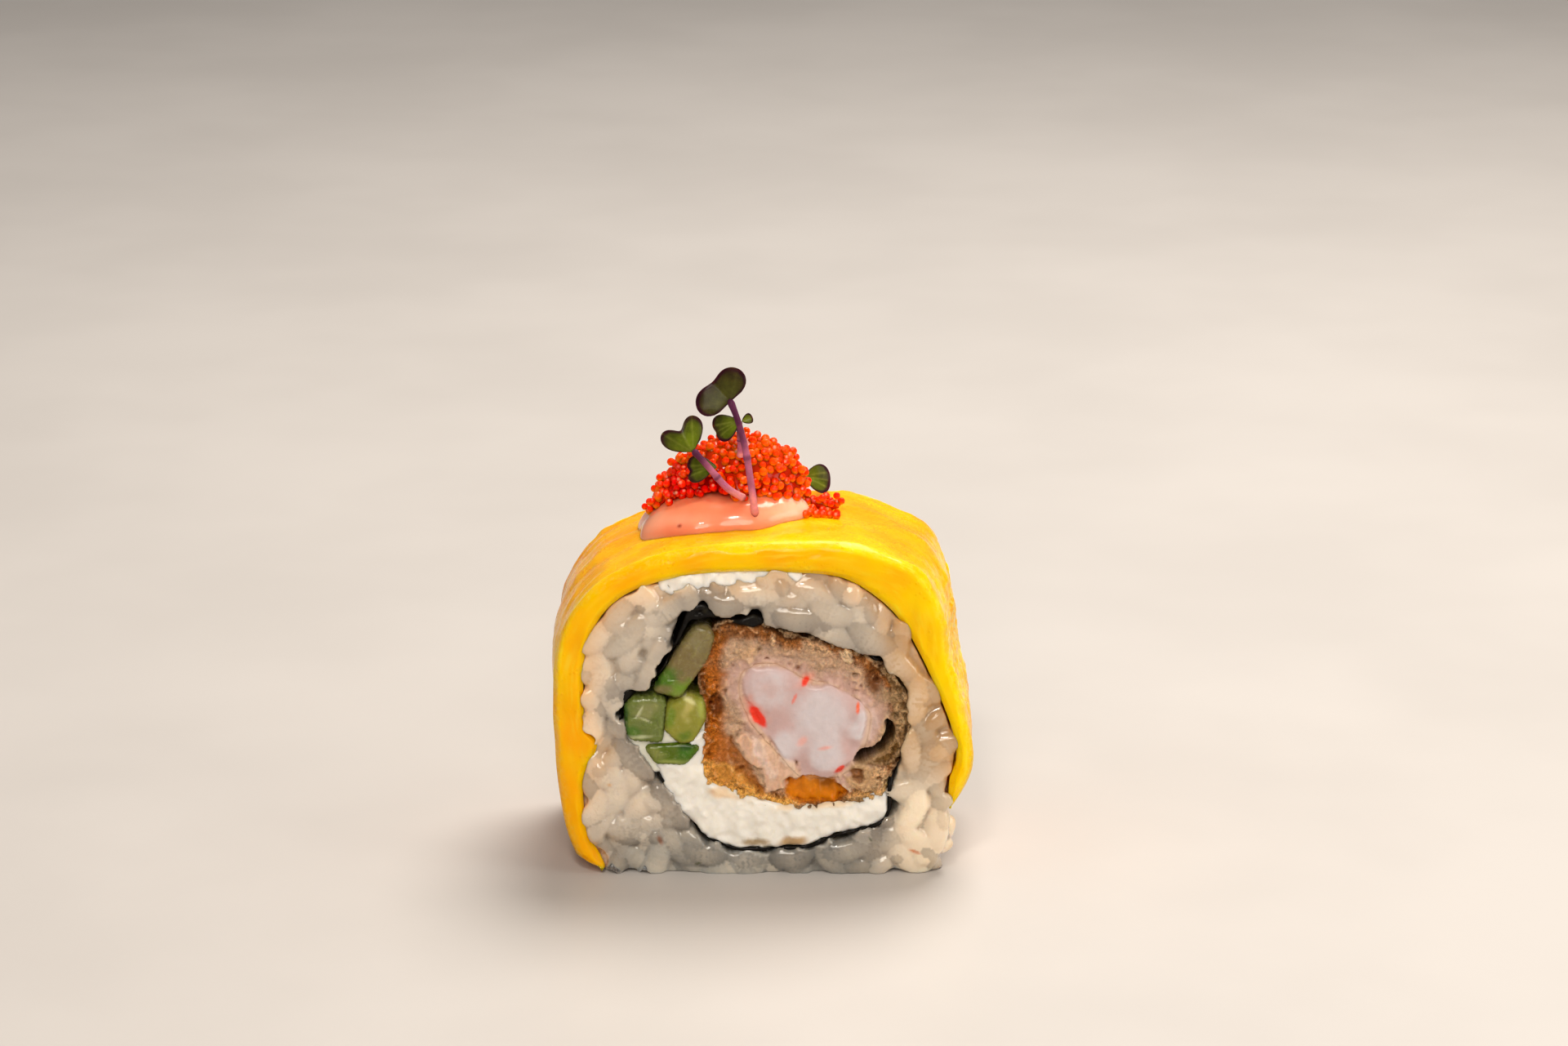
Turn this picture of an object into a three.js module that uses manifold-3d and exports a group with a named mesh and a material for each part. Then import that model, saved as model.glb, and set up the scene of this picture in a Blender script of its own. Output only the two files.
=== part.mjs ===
// One slice of an inside-out sushi roll under a slice of mango. A ring of rice holds a sheet of
// nori, and inside it lie fried shellfish in batter, cucumber sticks and cream cheese. On top are
// a spoon of pink sauce, a heap of flying-fish roe and a few sprouts.
// Units are millimetres. The roll's axis runs along Y, the cut face that shows looks towards -Y,
// +Z is up, and the origin is the middle of the flat bottom.

import * as THREE from 'three';
import { mergeVertices } from 'three/addons/utils/BufferGeometryUtils.js';
import Module from 'manifold-3d';

const wasm = await Module();
wasm.setup();

// Driving dimensions of the slice
const SLICE_DEPTH = 24;
const FRONT = -SLICE_DEPTH / 2;
const BACK = SLICE_DEPTH / 2;
const GAP = 0.3;
const SLICE_TOP = 40;
const OVERCUT = 1;
const BACK_SINK = 0.02;

// Mango slice: the outer line runs from the left tail over the top to the right tip,
// and the inner line runs back from the right tip to the left tail
const MANGO_OUTER = [
  [-17.9, 0.5], [-20.5, 1.9], [-21.7, 6], [-22.5, 12], [-23, 19], [-22.9, 25.5], [-21.6, 29.4],
  [-18.6, 33.2], [-14, 35.9], [-8.7, 37.5], [0, 38.3], [6, 38.4], [10, 38.1], [14, 36.6],
  [17.6, 34.6], [19.1, 31], [20.1, 26.5], [21.3, 22], [22.3, 18.3], [23, 14.6], [22.8, 12],
  [22.1, 10.3], [20.7, 7.8],
];
const MANGO_INNER = [
  [20.5, 7.9], [20.6, 11.3], [21.4, 13.4], [20.8, 17], [19, 21.8], [17.2, 25.8], [14.8, 30],
  [12, 32.7], [8.7, 34.6], [3.5, 35.2], [-5.5, 35.2], [-10.5, 34.4], [-15.2, 32.6], [-17.8, 30.1],
  [-19.4, 26.5], [-19.8, 21], [-19.5, 16.9], [-18.2, 15.2], [-19.6, 12.2], [-20, 9.6],
  [-19.5, 5.2], [-17.5, 0.5],
];
const MANGO_SAMPLES = { outer: 62, inner: 52 };
const MANGO_STEPS = 6;
const MANGO_MIDDLE = [0, 18];
const MANGO_SWELLS = { from: 3, to: 14 };
const MANGO_OPEN_BELOW = -4;
const MANGO_BULGE = { all: 0.35, shoulder: 1.3, at: [20, 29], reach: 6 };
const MANGO_FIBRE = { height: 0.14, pitch: 1.9 };

// Rice ring
const RICE_BARE_SIDE = [[-17.2, 0], [19.9, 0], [19.7, 2], [20.4, 4], [20.1, 6]];
const RICE_CORE_HALF_DEPTH = 11.15;
const RICE_HALF_DEPTH = 12;
const RICE_BARE_SWELL = 0.6;
const GRAIN = { length: 6.2, width: 2.7, flat: 0.9, spread: 3.4, tilt: 0.55, sunk: 0.35 };
const GRAIN_SIZES = { smallest: 0.8, range: 0.2, step: 0.37 };
const GRAIN_PLACES = { count: 120, seed: 41, tries: 4000 };
const BARE_GRAINS = { count: 9, x: 19.3, low: 1, high: 6.4, margin: 2, size: 0.85, seed: 7 };

// Nori: its outer line, and the folds where the sheet lies double
const NORI_OUTER = [
  [-15.9, 20.2], [-15.8, 16.6], [-14.6, 15.1], [-12.8, 13.1], [-11, 10], [-8.7, 6.4], [-6.4, 4],
  [-3, 2.6], [1, 2.6], [5, 2.8], [7.4, 4], [10.6, 4.8], [13.4, 5.8], [14.3, 7.6], [14.3, 10.8],
  [15.6, 13.6], [16.8, 17.6], [16.4, 21.2], [14.8, 23.8], [11.6, 26], [6.4, 28.2], [2.4, 28.7],
  [0.6, 29.6], [-1, 30.6], [-2.8, 29.9], [-4.6, 30.3], [-6.4, 31.7], [-8, 31.5], [-9.4, 28.2],
  [-11.4, 24.2], [-13.2, 22.1], [-15, 22.2],
];
const NORI_THICKNESS = 0.5;
const NORI_HALF_DEPTH = 11.6;
const NORI_FOLDS = [
  { at: [-7.2, 31.4], depth: 2, reach: 1.5 },
  { at: [-1, 30.6], depth: 1.1, reach: 1.1 },
  { at: [-15.2, 22], depth: 0.9, reach: 1.1 },
];

// Fried batter round the meat, with the hollow that shows between them
const BATTER_OUTER = [
  [-4.9, 28.9], [-2.6, 29.5], [0.2, 29], [3.4, 27.6], [7.2, 27], [10.8, 25.5], [13.8, 23.3],
  [15.5, 20.2], [15.8, 17.2], [14.9, 14.2], [13.5, 11.4], [12.9, 9.6], [9.4, 8.6], [4.6, 8],
  [0.4, 8.5], [-2.6, 9.4], [-5.4, 10.3], [-6.8, 12], [-6.4, 15.2], [-6, 18.4], [-6.3, 21],
  [-7, 23], [-5.7, 26],
];
const BATTER_HALF_DEPTH = 11.6;
const BATTER_HOLLOW = [[13.6, 18.6], [11.4, 16.4], [10.8, 13.2], [13.2, 12.6], [14.6, 14.6], [14.7, 17.4]];
const BATTER_HOLLOW_DEPTH = 4;
const BATTER_CRAGS = { count: 15, radius: 1.1, rise: 0.35, seed: 19 };
const MEAT_OUTLINE = [
  [-2.2, 23.4], [-0.2, 24.4], [1.8, 24.2], [4.2, 22.6], [7.2, 22], [10, 20.4], [11.5, 18.9],
  [11.2, 16.2], [10.2, 13.4], [8.2, 11.6], [5.2, 11.2], [3.4, 12.6], [1.4, 15], [-1, 17.7], [-2.2, 20.4],
];
const MEAT_BEVEL = 0.6;

// Cucumber sticks, each cut as a flat-sided piece
const CUCUMBERS = [
  [[-9.3, 21], [-11.9, 21.7], [-8.3, 27.6], [-7.3, 28.7], [-6.1, 28.7], [-5.4, 27.5], [-6.6, 24.9]],
  [[-14.9, 16], [-11.3, 15.8], [-10.9, 20.2], [-11.5, 20.7], [-14.6, 20.5], [-15.1, 19.8]],
  [[-9.2, 15.7], [-7.9, 15.8], [-6.5, 18.4], [-6.7, 20.3], [-8.3, 20.9], [-10.4, 19.9], [-10.7, 17.1]],
  [[-12.9, 15], [-11.8, 13.3], [-8.7, 13.2], [-7.2, 15], [-8.4, 15.3]],
];
const CUCUMBER_HALF_DEPTH = 11.7;
const CUCUMBER_BEVEL = 0.25;

// Cream cheese: the crescent under the batter, and the thin layer under the mango
const CREAM_OUTLINE = [
  [-14.4, 15.4], [-6.4, 16.6], [-6.2, 11.5], [-2.6, 9], [4.6, 7.6], [9.4, 8.2], [14.2, 9.6],
  [16, 5], [6, 0], [-6, 0], [-14.4, 9],
];
const CREAM_HALF_DEPTH = 11.4;
const CREAM_LUMPS = { count: 12, radius: 1.3, rise: 0.35, seed: 53 };
const CREAM_TOP = [[-11.2, 33.9], [-9.4, 32.9], [-6.8, 33.5], [-2, 34.2], [4.4, 34.6]];
const CREAM_TOP_HALF_DEPTH = 11.7;
const CREAM_TOP_SPAN = { above: 33, from: -10.6, to: 3.8 };
const CREAM_TOP_SAMPLES = 10;
const CREAM_BED = { wider: 0.6, left: 0.3, right: 0.1 };

// Lumps on the cut faces: their spacing, size and flatness against their radius
const LUMP = { spacing: 1.5, smallest: 0.7, range: 0.5, sunk: 0.1, rise: 0.35, flat: 0.8, tries: 3000 };

// Sauce and roe: plan radii and heights of two mounds that lie off the slice's middle
const SAUCE = { at: [-4.9, 1.1, 39.2], radii: [9.2, 7.6], up: 2.8, down: 2.4, taper: 0.16, lobe: 0.05 };
const ROE = { at: [-4.4, 2.5, 40.6], radii: [9.2, 6.4], up: 7.4, down: 2, taper: -0.2, lobe: 0.06 };
const MOUND_DROOP = { from: 3, per: 0.0085 };
const SAUCE_MESH = { around: 22, levels: 10 };
const ROE_MESH = { around: 14, levels: 8 };
const ROE_GUIDE = { around: 60, levels: 40 };
const ROE_CORE_SHRINK = 0.35;
const EGG = { radius: 0.58, smallest: 0.9, range: 0.25, sunk: 0.3, count: 55, cover: 1.15, seed: 77 };
const EGG_TRAIL = { from: [3.4, 1.4, 40], to: [8.3, 1.7, 39.2], count: 8, wander: 0.2 };

// Sprouts: stem lines from the foot up, and leaf lobes by foot, tip, width and facing direction
const STEM_RADIUS = 0.42;
const STEM_SIDES = 6;
const STEM_STEPS = 7;
const LEAF_THICKNESS = 0.22;
const LEAF_WAVE = 0.18;
const SPROUT_TALL = {
  stem: [[-0.9, -4.9, 39.6], [-1.5, -4.8, 44.3], [-1.8, -4.6, 46.7], [-2.2, -4.3, 48.3], [-3.7, -3.5, 52.6]],
  leaves: [
    { foot: [-3.9, -3.4, 52], tip: [-2.6, -2.8, 56.5], width: 2.9, facing: [0.1, -1, 0.1], cup: 0.3 },
    { foot: [-3.1, -3.4, 53], tip: [-7.2, -2.8, 51.2], width: 3.2, facing: [-0.1, -1, 0.1], cup: 0.3 },
  ],
};
const SPROUT_SHORT = {
  stem: [[-2, -4.2, 41.4], [-4, -4.4, 42.6], [-5.4, -4.5, 44.4], [-6.6, -4.4, 45.8], [-7.7, -4.3, 47]],
  leaves: [
    { foot: [-7.3, -4.3, 46.8], tip: [-11.3, -4.2, 48.4], width: 2.8, facing: [0, -1, 0.4], cup: 0.2 },
    { foot: [-7.8, -4.3, 46.6], tip: [-7.7, -4.3, 50.9], width: 2.5, facing: [0, -1, 0.2], cup: 0.2 },
  ],
};
const SPROUT_SMALL = {
  stem: [[-2.5, -1.5, 45.4], [-2.5, -1.9, 47.3], [-2.7, -2.1, 49.6]],
  leaves: [
    { foot: [-2.2, -2.1, 49.9], tip: [-5.6, -2.4, 48.5], width: 2.5, facing: [0.1, -1, 0.4], cup: 0.3 },
    { foot: [-3, -2.1, 49.4], tip: [-1.2, -1.8, 50.1], width: 1.1, facing: [0.2, -1, 0.4], cup: 0.2 },
  ],
};
const LEAF_LOW = {
  foot: [-5.1, -2.9, 44.7], tip: [-8.6, -2.7, 44.2], width: 2.3, facing: [0.1, -1, 0.7], cup: 0.3,
};
const LEAF_BACK = {
  foot: [4.4, 8.6, 40.2], tip: [7.7, 9, 40], width: 2.8, facing: [0.2, -1, 0.5], cup: 0.4,
};

// Colours and surfaces, as seen on the food
const FINISHES = {
  rice: { color: 0xd7cdbe, roughness: 0.35 },
  nori: { color: 0x14100b, roughness: 0.6 },
  cream: { color: 0xf5f0e4, roughness: 0.55 },
  cucumber: { color: 0x7f9c4a, roughness: 0.3 },
  batter: { color: 0xb07b3e, roughness: 0.7 },
  meat: { color: 0xe6d3d2, roughness: 0.4 },
  mango: { color: 0xffb408, roughness: 0.3 },
  sauce: { color: 0xf58f6c, roughness: 0.2 },
  roe: { color: 0xff4d0a, roughness: 0.15 },
  sprout: { color: 0x55702a, roughness: 0.5 },
};

// Gives a repeatable row of random numbers from 0 to 1
function seeded(seed) {
  let state = seed;
  return () => {
    state = (state + 0x6d2b79f5) | 0;
    let mixed = Math.imul(state ^ (state >>> 15), 1 | state);
    mixed = (mixed + Math.imul(mixed ^ (mixed >>> 7), 61 | mixed)) ^ mixed;
    return ((mixed ^ (mixed >>> 14)) >>> 0) / 4294967296;
  };
}

// Solids and geometries
function toSolid(geometry) {
  const bare = geometry.clone();
  bare.deleteAttribute('normal');
  bare.deleteAttribute('uv');
  const merged = mergeVertices(bare, 1e-4);
  return new wasm.Manifold(new wasm.Mesh({
    numProp: 3,
    vertProperties: new Float32Array(merged.attributes.position.array),
    triVerts: new Uint32Array(merged.index.array),
  }));
}

function toGeometry(solid) {
  const mesh = solid.getMesh();
  const geometry = new THREE.BufferGeometry();
  geometry.setAttribute('position', new THREE.BufferAttribute(new Float32Array(mesh.vertProperties), 3));
  geometry.setIndex(new THREE.BufferAttribute(new Uint32Array(mesh.triVerts), 1));
  return geometry;
}

// Joins solids, then keeps the main outer skin, so loose scraps go and sealed hollows fill up
function fuse(solids) {
  return mainBody(wasm.Manifold.union(solids));
}

function mainBody(solid) {
  const bodies = solid.decompose();
  return bodies.reduce((best, body) => (body.volume() > best.volume() ? body : best));
}

// Outlines in the plane of the cut face, as lists of Vector2 whose y is the height
function smoothLine(points, count, closed) {
  const corners = points.map(([x, z]) => new THREE.Vector3(x, z, 0));
  const curve = new THREE.CatmullRomCurve3(corners, closed, 'centripetal');
  const samples = curve.getSpacedPoints(count).map((p) => new THREE.Vector2(p.x, p.y));
  return closed ? samples.slice(0, -1) : samples;
}

function straightLine(points) {
  return points.map(([x, z]) => new THREE.Vector2(x, z));
}

// Moves each point of an outline outwards by a distance, which may depend on the point
function offset(outline, distance) {
  const turn = THREE.ShapeUtils.area(outline) > 0 ? 1 : -1;
  const count = outline.length;
  return outline.map((point, i) => {
    const before = outline[(i + count - 1) % count];
    const after = outline[(i + 1) % count];
    const along = after.clone().sub(before).normalize();
    const out = new THREE.Vector2(along.y, -along.x).multiplyScalar(turn);
    const amount = typeof distance === 'function' ? distance(point) : distance;
    return point.clone().addScaledVector(out, amount);
  });
}

function isInside(outline, x, z) {
  let inside = false;
  outline.forEach((a, i) => {
    const b = outline[(i + 1) % outline.length];
    if (a.y > z !== b.y > z && x < a.x + ((z - a.y) * (b.x - a.x)) / (b.y - a.y)) {
      inside = !inside;
    }
  });
  return inside;
}

// A prism along Y between two depths, with rounded rims where a bevel is given
function prismGeometry(outline, front, back, { steps = 1, bevel = 0 } = {}) {
  const geometry = new THREE.ExtrudeGeometry(new THREE.Shape(outline), {
    depth: back - front - 2 * bevel,
    steps,
    bevelEnabled: bevel > 0,
    bevelThickness: bevel,
    bevelSize: bevel,
    bevelOffset: -bevel,
    bevelSegments: 2,
  });
  geometry.rotateX(Math.PI / 2);
  geometry.translate(0, back - bevel, 0);
  return geometry;
}

function prism(outline, front, back, options) {
  return toSolid(prismGeometry(outline, front, back, options));
}

// A prism that cuts through the whole slice
function cutter(outline) {
  return prism(outline, FRONT - OVERCUT, BACK + OVERCUT);
}

// Moves every vertex of a geometry by a rule
function reshape(geometry, rule) {
  const position = geometry.attributes.position;
  const vertex = new THREE.Vector3();
  for (let i = 0; i < position.count; i += 1) {
    rule(vertex.fromBufferAttribute(position, i));
    position.setXYZ(i, vertex.x, vertex.y, vertex.z);
  }
  return geometry;
}

// Lumps that lie in both cut faces of a piece: seeded places inside its outline, kept apart
function scatterInOutline(outline, hole, { count, apart, seed, tries }) {
  const random = seeded(seed);
  const box = new THREE.Box2().setFromPoints(outline);
  const places = [];
  for (let i = 0; i < tries && places.length < count; i += 1) {
    const x = THREE.MathUtils.lerp(box.min.x, box.max.x, random());
    const z = THREE.MathUtils.lerp(box.min.y, box.max.y, random());
    const isFree = places.every((place) => Math.hypot(place.x - x, place.z - z) > apart);
    if (isFree && isInside(outline, x, z) && !isInside(hole, x, z)) {
      places.push({ x, z, roll: random() });
    }
  }
  return places;
}

function faceLumps(outline, hole, { count, radius, rise, seed }, halfDepth) {
  const lumps = [];
  [-1, 1].forEach((side) => {
    const rule = { count, apart: radius * LUMP.spacing, seed: seed + side, tries: LUMP.tries };
    scatterInOutline(outline, hole, rule).forEach(({ x, z, roll }) => {
      const lump = new THREE.IcosahedronGeometry(radius * (LUMP.smallest + LUMP.range * roll), 0);
      lump.scale(1, (LUMP.rise + rise) / radius, LUMP.flat);
      lump.rotateY(roll * Math.PI);
      lump.translate(x, side * (halfDepth - LUMP.sunk), z);
      lumps.push(toSolid(lump));
    });
  });
  return lumps;
}

// Mango slice
function mangoBulge(vertex, t) {
  const { all, shoulder, at, reach } = MANGO_BULGE;
  const distance = Math.hypot(vertex.x - at[0], vertex.z - at[1]);
  const edge = shoulder * Math.exp(-((distance / reach) ** 2)) * THREE.MathUtils.smoothstep(t, 0, 0.7);
  const fibre = Math.sin(vertex.y * 1.7 + vertex.x) * Math.sin((vertex.x + vertex.z) / MANGO_FIBRE.pitch);
  return edge + Math.sin(Math.PI * t) * (all + MANGO_FIBRE.height * fibre);
}

// The whole dome that the mango's outer face bounds, grown by a clearance where asked
function mangoDome(grow) {
  const outline = offset(smoothLine(MANGO_OUTER, MANGO_SAMPLES.outer, false), grow);
  const geometry = prismGeometry(outline, FRONT - grow, BACK + grow, { steps: MANGO_STEPS });
  const middle = new THREE.Vector2(...MANGO_MIDDLE);
  reshape(geometry, (vertex) => {
    const t = THREE.MathUtils.clamp((vertex.y - FRONT) / SLICE_DEPTH, 0, 1);
    const away = new THREE.Vector2(vertex.x, vertex.z).sub(middle).normalize();
    const rise = THREE.MathUtils.smoothstep(vertex.z, MANGO_SWELLS.from, MANGO_SWELLS.to);
    const swell = rise * mangoBulge(vertex, t);
    vertex.x += away.x * swell;
    vertex.z += away.y * swell;
  });
  return toSolid(geometry);
}

const mangoInner = smoothLine(MANGO_INNER, MANGO_SAMPLES.inner, false);

function mangoSlice() {
  const ends = [mangoInner[mangoInner.length - 1], mangoInner[0]];
  const hollow = [...mangoInner, ...ends.map(({ x }) => new THREE.Vector2(x, MANGO_OPEN_BELOW))];
  return mainBody(mangoDome(0).subtract(cutter(hollow)));
}

// Nori and the space inside it
const noriOuter = smoothLine(NORI_OUTER, 66, true);

function noriDepth(point) {
  return NORI_FOLDS.reduce((depth, fold) => {
    const distance = Math.hypot(point.x - fold.at[0], point.y - fold.at[1]);
    return depth + fold.depth * Math.exp(-((distance / fold.reach) ** 2));
  }, NORI_THICKNESS);
}

const noriInner = offset(noriOuter, (point) => -noriDepth(point));
const fillingSpace = offset(noriOuter, (point) => -noriDepth(point) - GAP);

function noriSheet() {
  const outer = prism(noriOuter, -NORI_HALF_DEPTH, NORI_HALF_DEPTH);
  return mainBody(outer.subtract(cutter(noriInner)));
}

// Thin layer of cream cheese between the rice and the mango, and the bed that it needs in the rice
const creamTopUnder = smoothLine(CREAM_TOP, CREAM_TOP_SAMPLES, false);

function creamTopOutline() {
  const { above, from, to } = CREAM_TOP_SPAN;
  const over = offset(mangoInner, -GAP).filter((p) => p.y > above && p.x > from && p.x < to);
  return [...creamTopUnder, ...over];
}

function creamTopBed() {
  const under = creamTopUnder.map((p) => new THREE.Vector2(p.x, p.y - GAP));
  const [first, last] = [under[0], under[under.length - 1]];
  const left = new THREE.Vector2(first.x - CREAM_BED.wider, first.y + CREAM_BED.left);
  const right = new THREE.Vector2(last.x + CREAM_BED.wider, last.y + CREAM_BED.right);
  const above = [right, left].map(({ x }) => new THREE.Vector2(x, SLICE_TOP));
  return cutter([left, ...under, right, ...above]);
}

// Rice ring: a core with grains fused on its cut faces and its bare lower side
function riceOutline(swell) {
  const arch = offset([...mangoInner, ...straightLine(RICE_BARE_SIDE)], -GAP).slice(0, mangoInner.length);
  const side = straightLine(RICE_BARE_SIDE).map((point) => new THREE.Vector2(
    point.x + Math.sign(point.x) * swell,
    point.y,
  ));
  return [...arch, ...side];
}

function grainSolid(x, y, z, turn, tilt, size) {
  const grain = new THREE.SphereGeometry(0.5, 5, 4);
  grain.scale(GRAIN.width * size, GRAIN.length * size, GRAIN.width * GRAIN.flat * size);
  grain.rotateZ(Math.PI / 2);
  grain.rotateZ(tilt);
  grain.rotateY(turn);
  grain.translate(x, y, z);
  return toSolid(grain);
}

function riceGrains(outline, hole) {
  const grains = [];
  [-1, 1].forEach((side) => {
    const rule = { ...GRAIN_PLACES, apart: GRAIN.spread, seed: GRAIN_PLACES.seed + side };
    scatterInOutline(outline, hole, rule).forEach(({ x, z, roll }, i) => {
      const turn = roll * Math.PI;
      const tilt = ((i % 3) - 1) * GRAIN.tilt;
      const size = GRAIN_SIZES.smallest + GRAIN_SIZES.range * ((i * GRAIN_SIZES.step) % 1);
      grains.push(grainSolid(x, side * (RICE_CORE_HALF_DEPTH - GRAIN.sunk), z, turn, tilt, size));
    });
  });
  const { count, x, low, high, margin, size, seed } = BARE_GRAINS;
  const random = seeded(seed);
  for (let i = 0; i < count; i += 1) {
    const y = THREE.MathUtils.lerp(FRONT + margin, BACK - margin, (i + 0.5 * random()) / count);
    const z = THREE.MathUtils.lerp(low, high, random());
    grains.push(grainSolid(x, y, z, random() * Math.PI, Math.PI / 2, size));
  }
  return grains;
}

function riceRing() {
  const outline = riceOutline(RICE_BARE_SWELL);
  const holeOutline = offset(noriOuter, GAP);
  const core = prism(riceOutline(-RICE_BARE_SWELL), -RICE_CORE_HALF_DEPTH, RICE_CORE_HALF_DEPTH);
  const zone = prism(outline, -RICE_HALF_DEPTH, RICE_HALF_DEPTH);
  const hole = cutter(holeOutline);
  const heap = wasm.Manifold.union([core, ...riceGrains(outline, holeOutline)]);
  return mainBody(heap.intersect(zone).subtract(hole).subtract(creamTopBed()));
}

// Fried batter and the meat in it
const batterOuter = smoothLine(BATTER_OUTER, 40, true);
const meatOutline = smoothLine(MEAT_OUTLINE, 24, true);

function batterRing() {
  const meatBed = offset(meatOutline, GAP);
  const hollow = smoothLine(BATTER_HOLLOW, 14, true);
  const body = prism(batterOuter, -BATTER_HALF_DEPTH, BATTER_HALF_DEPTH);
  const crags = faceLumps(batterOuter, meatBed, BATTER_CRAGS, BATTER_HALF_DEPTH);
  const rough = wasm.Manifold.union([body, ...crags])
    .intersect(prism(fillingSpace, FRONT, BACK))
    .intersect(prism(batterOuter, FRONT, BACK));
  return mainBody(rough
    .subtract(cutter(meatBed))
    .subtract(prism(hollow, FRONT - OVERCUT, FRONT + BATTER_HOLLOW_DEPTH))
    .subtract(prism(hollow, BACK - BATTER_HOLLOW_DEPTH, BACK + OVERCUT)));
}

function meatPiece() {
  return prism(meatOutline, FRONT, BACK, { bevel: MEAT_BEVEL });
}

// Cucumber sticks
function batterBed() {
  return cutter(offset(batterOuter, GAP));
}

function cucumberStick(points) {
  const rims = { bevel: CUCUMBER_BEVEL };
  const stick = prism(straightLine(points), -CUCUMBER_HALF_DEPTH, CUCUMBER_HALF_DEPTH, rims);
  return mainBody(stick.intersect(cutter(fillingSpace)).subtract(batterBed()));
}

// Cream cheese crescent, pressed round its neighbours
function creamCrescent() {
  const outline = straightLine(CREAM_OUTLINE);
  const body = prism(outline, -CREAM_HALF_DEPTH, CREAM_HALF_DEPTH);
  const lumps = faceLumps(outline, batterOuter, CREAM_LUMPS, CREAM_HALF_DEPTH);
  const beds = CUCUMBERS.map((points) => cutter(offset(straightLine(points), GAP)));
  const pressed = wasm.Manifold.union([body, ...lumps]).intersect(cutter(fillingSpace)).subtract(batterBed());
  return mainBody(beds.reduce((cream, bed) => cream.subtract(bed), pressed));
}

function creamTop() {
  return prism(creamTopOutline(), -CREAM_TOP_HALF_DEPTH, CREAM_TOP_HALF_DEPTH);
}

// A low mound over an uneven plan outline, which droops to the left as the mango under it does
function moundGeometry(mound, grow, { around, levels }) {
  const geometry = new THREE.SphereGeometry(1, around, levels);
  geometry.rotateX(Math.PI / 2);
  return reshape(geometry, (vertex) => {
    const angle = Math.atan2(vertex.y, vertex.x);
    const uneven = 1 + mound.lobe * Math.cos(3 * angle + 1) + 0.4 * mound.lobe * Math.cos(5 * angle);
    const narrow = 1 - mound.taper * vertex.x;
    const lift = vertex.z > 0 ? mound.up * (1 - mound.taper * vertex.x) : mound.down;
    vertex.x *= mound.radii[0] * uneven + grow;
    vertex.y *= mound.radii[1] * uneven * narrow + grow;
    vertex.z *= lift + grow;
    vertex.add(new THREE.Vector3(...mound.at));
    vertex.z -= MOUND_DROOP.per * (vertex.x - MOUND_DROOP.from) ** 2;
  });
}

function sauceSpoon() {
  const mound = toSolid(moundGeometry(SAUCE, 0, SAUCE_MESH));
  return mainBody(mound.subtract(mangoDome(GAP)).subtract(sproutBeds()));
}

// Roe: a core with eggs over its upper face, spread by the golden angle, and a short trail of eggs
function heapedEggs() {
  const { around, levels } = ROE_GUIDE;
  const guide = moundGeometry(ROE, -EGG.sunk, ROE_GUIDE).attributes.position;
  const random = seeded(EGG.seed);
  return Array.from({ length: EGG.count }, (_, i) => {
    const height = 1 - (EGG.cover * (i + 0.5)) / EGG.count;
    const turns = (i * (3 - Math.sqrt(5))) / 2;
    const level = Math.round((Math.acos(height) / Math.PI) * levels);
    const spot = level * (around + 1) + Math.round((turns % 1) * around);
    const egg = new THREE.IcosahedronGeometry(EGG.radius * (EGG.smallest + EGG.range * random()), 0);
    egg.rotateX(random() * Math.PI);
    egg.rotateZ(random() * Math.PI);
    egg.translate(guide.getX(spot), guide.getY(spot), guide.getZ(spot));
    return toSolid(egg);
  });
}

function trailingEggs() {
  const { from, to, count, wander } = EGG_TRAIL;
  return Array.from({ length: count }, (_, i) => {
    const place = new THREE.Vector3(...from).lerp(new THREE.Vector3(...to), i / (count - 1));
    const egg = new THREE.IcosahedronGeometry(EGG.radius * (EGG.smallest + EGG.range), 0);
    egg.translate(place.x, place.y + wander * Math.sin(i * 2), place.z);
    return toSolid(egg);
  });
}

function roeHeap() {
  const core = toSolid(moundGeometry(ROE, -ROE_CORE_SHRINK, ROE_MESH));
  const sauce = toSolid(moundGeometry(SAUCE, GAP, SAUCE_MESH));
  const heap = wasm.Manifold.union([core, ...heapedEggs(), ...trailingEggs()]);
  return mainBody(heap.subtract(mangoDome(GAP)).subtract(sauce).subtract(sproutBeds()));
}

// Sprouts
function stemGeometry(points, radius) {
  const line = new THREE.CatmullRomCurve3(points.map((p) => new THREE.Vector3(...p)));
  const section = new THREE.Shape();
  section.absarc(0, 0, radius, 0, 2 * Math.PI);
  const round = new THREE.Shape(section.getSpacedPoints(STEM_SIDES).slice(0, STEM_SIDES));
  return new THREE.ExtrudeGeometry(round, { extrudePath: line, steps: STEM_STEPS, bevelEnabled: false });
}

// The room that the greens need in the roe and the sauce
function sproutBeds() {
  const stems = [SPROUT_TALL, SPROUT_SHORT, SPROUT_SMALL];
  const beds = stems.map(({ stem }) => stemGeometry(stem, STEM_RADIUS + GAP));
  [LEAF_LOW, LEAF_BACK].forEach((leaf) => beds.push(leafGeometry(leaf, GAP)));
  return wasm.Manifold.union(beds.map(toSolid));
}

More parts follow.
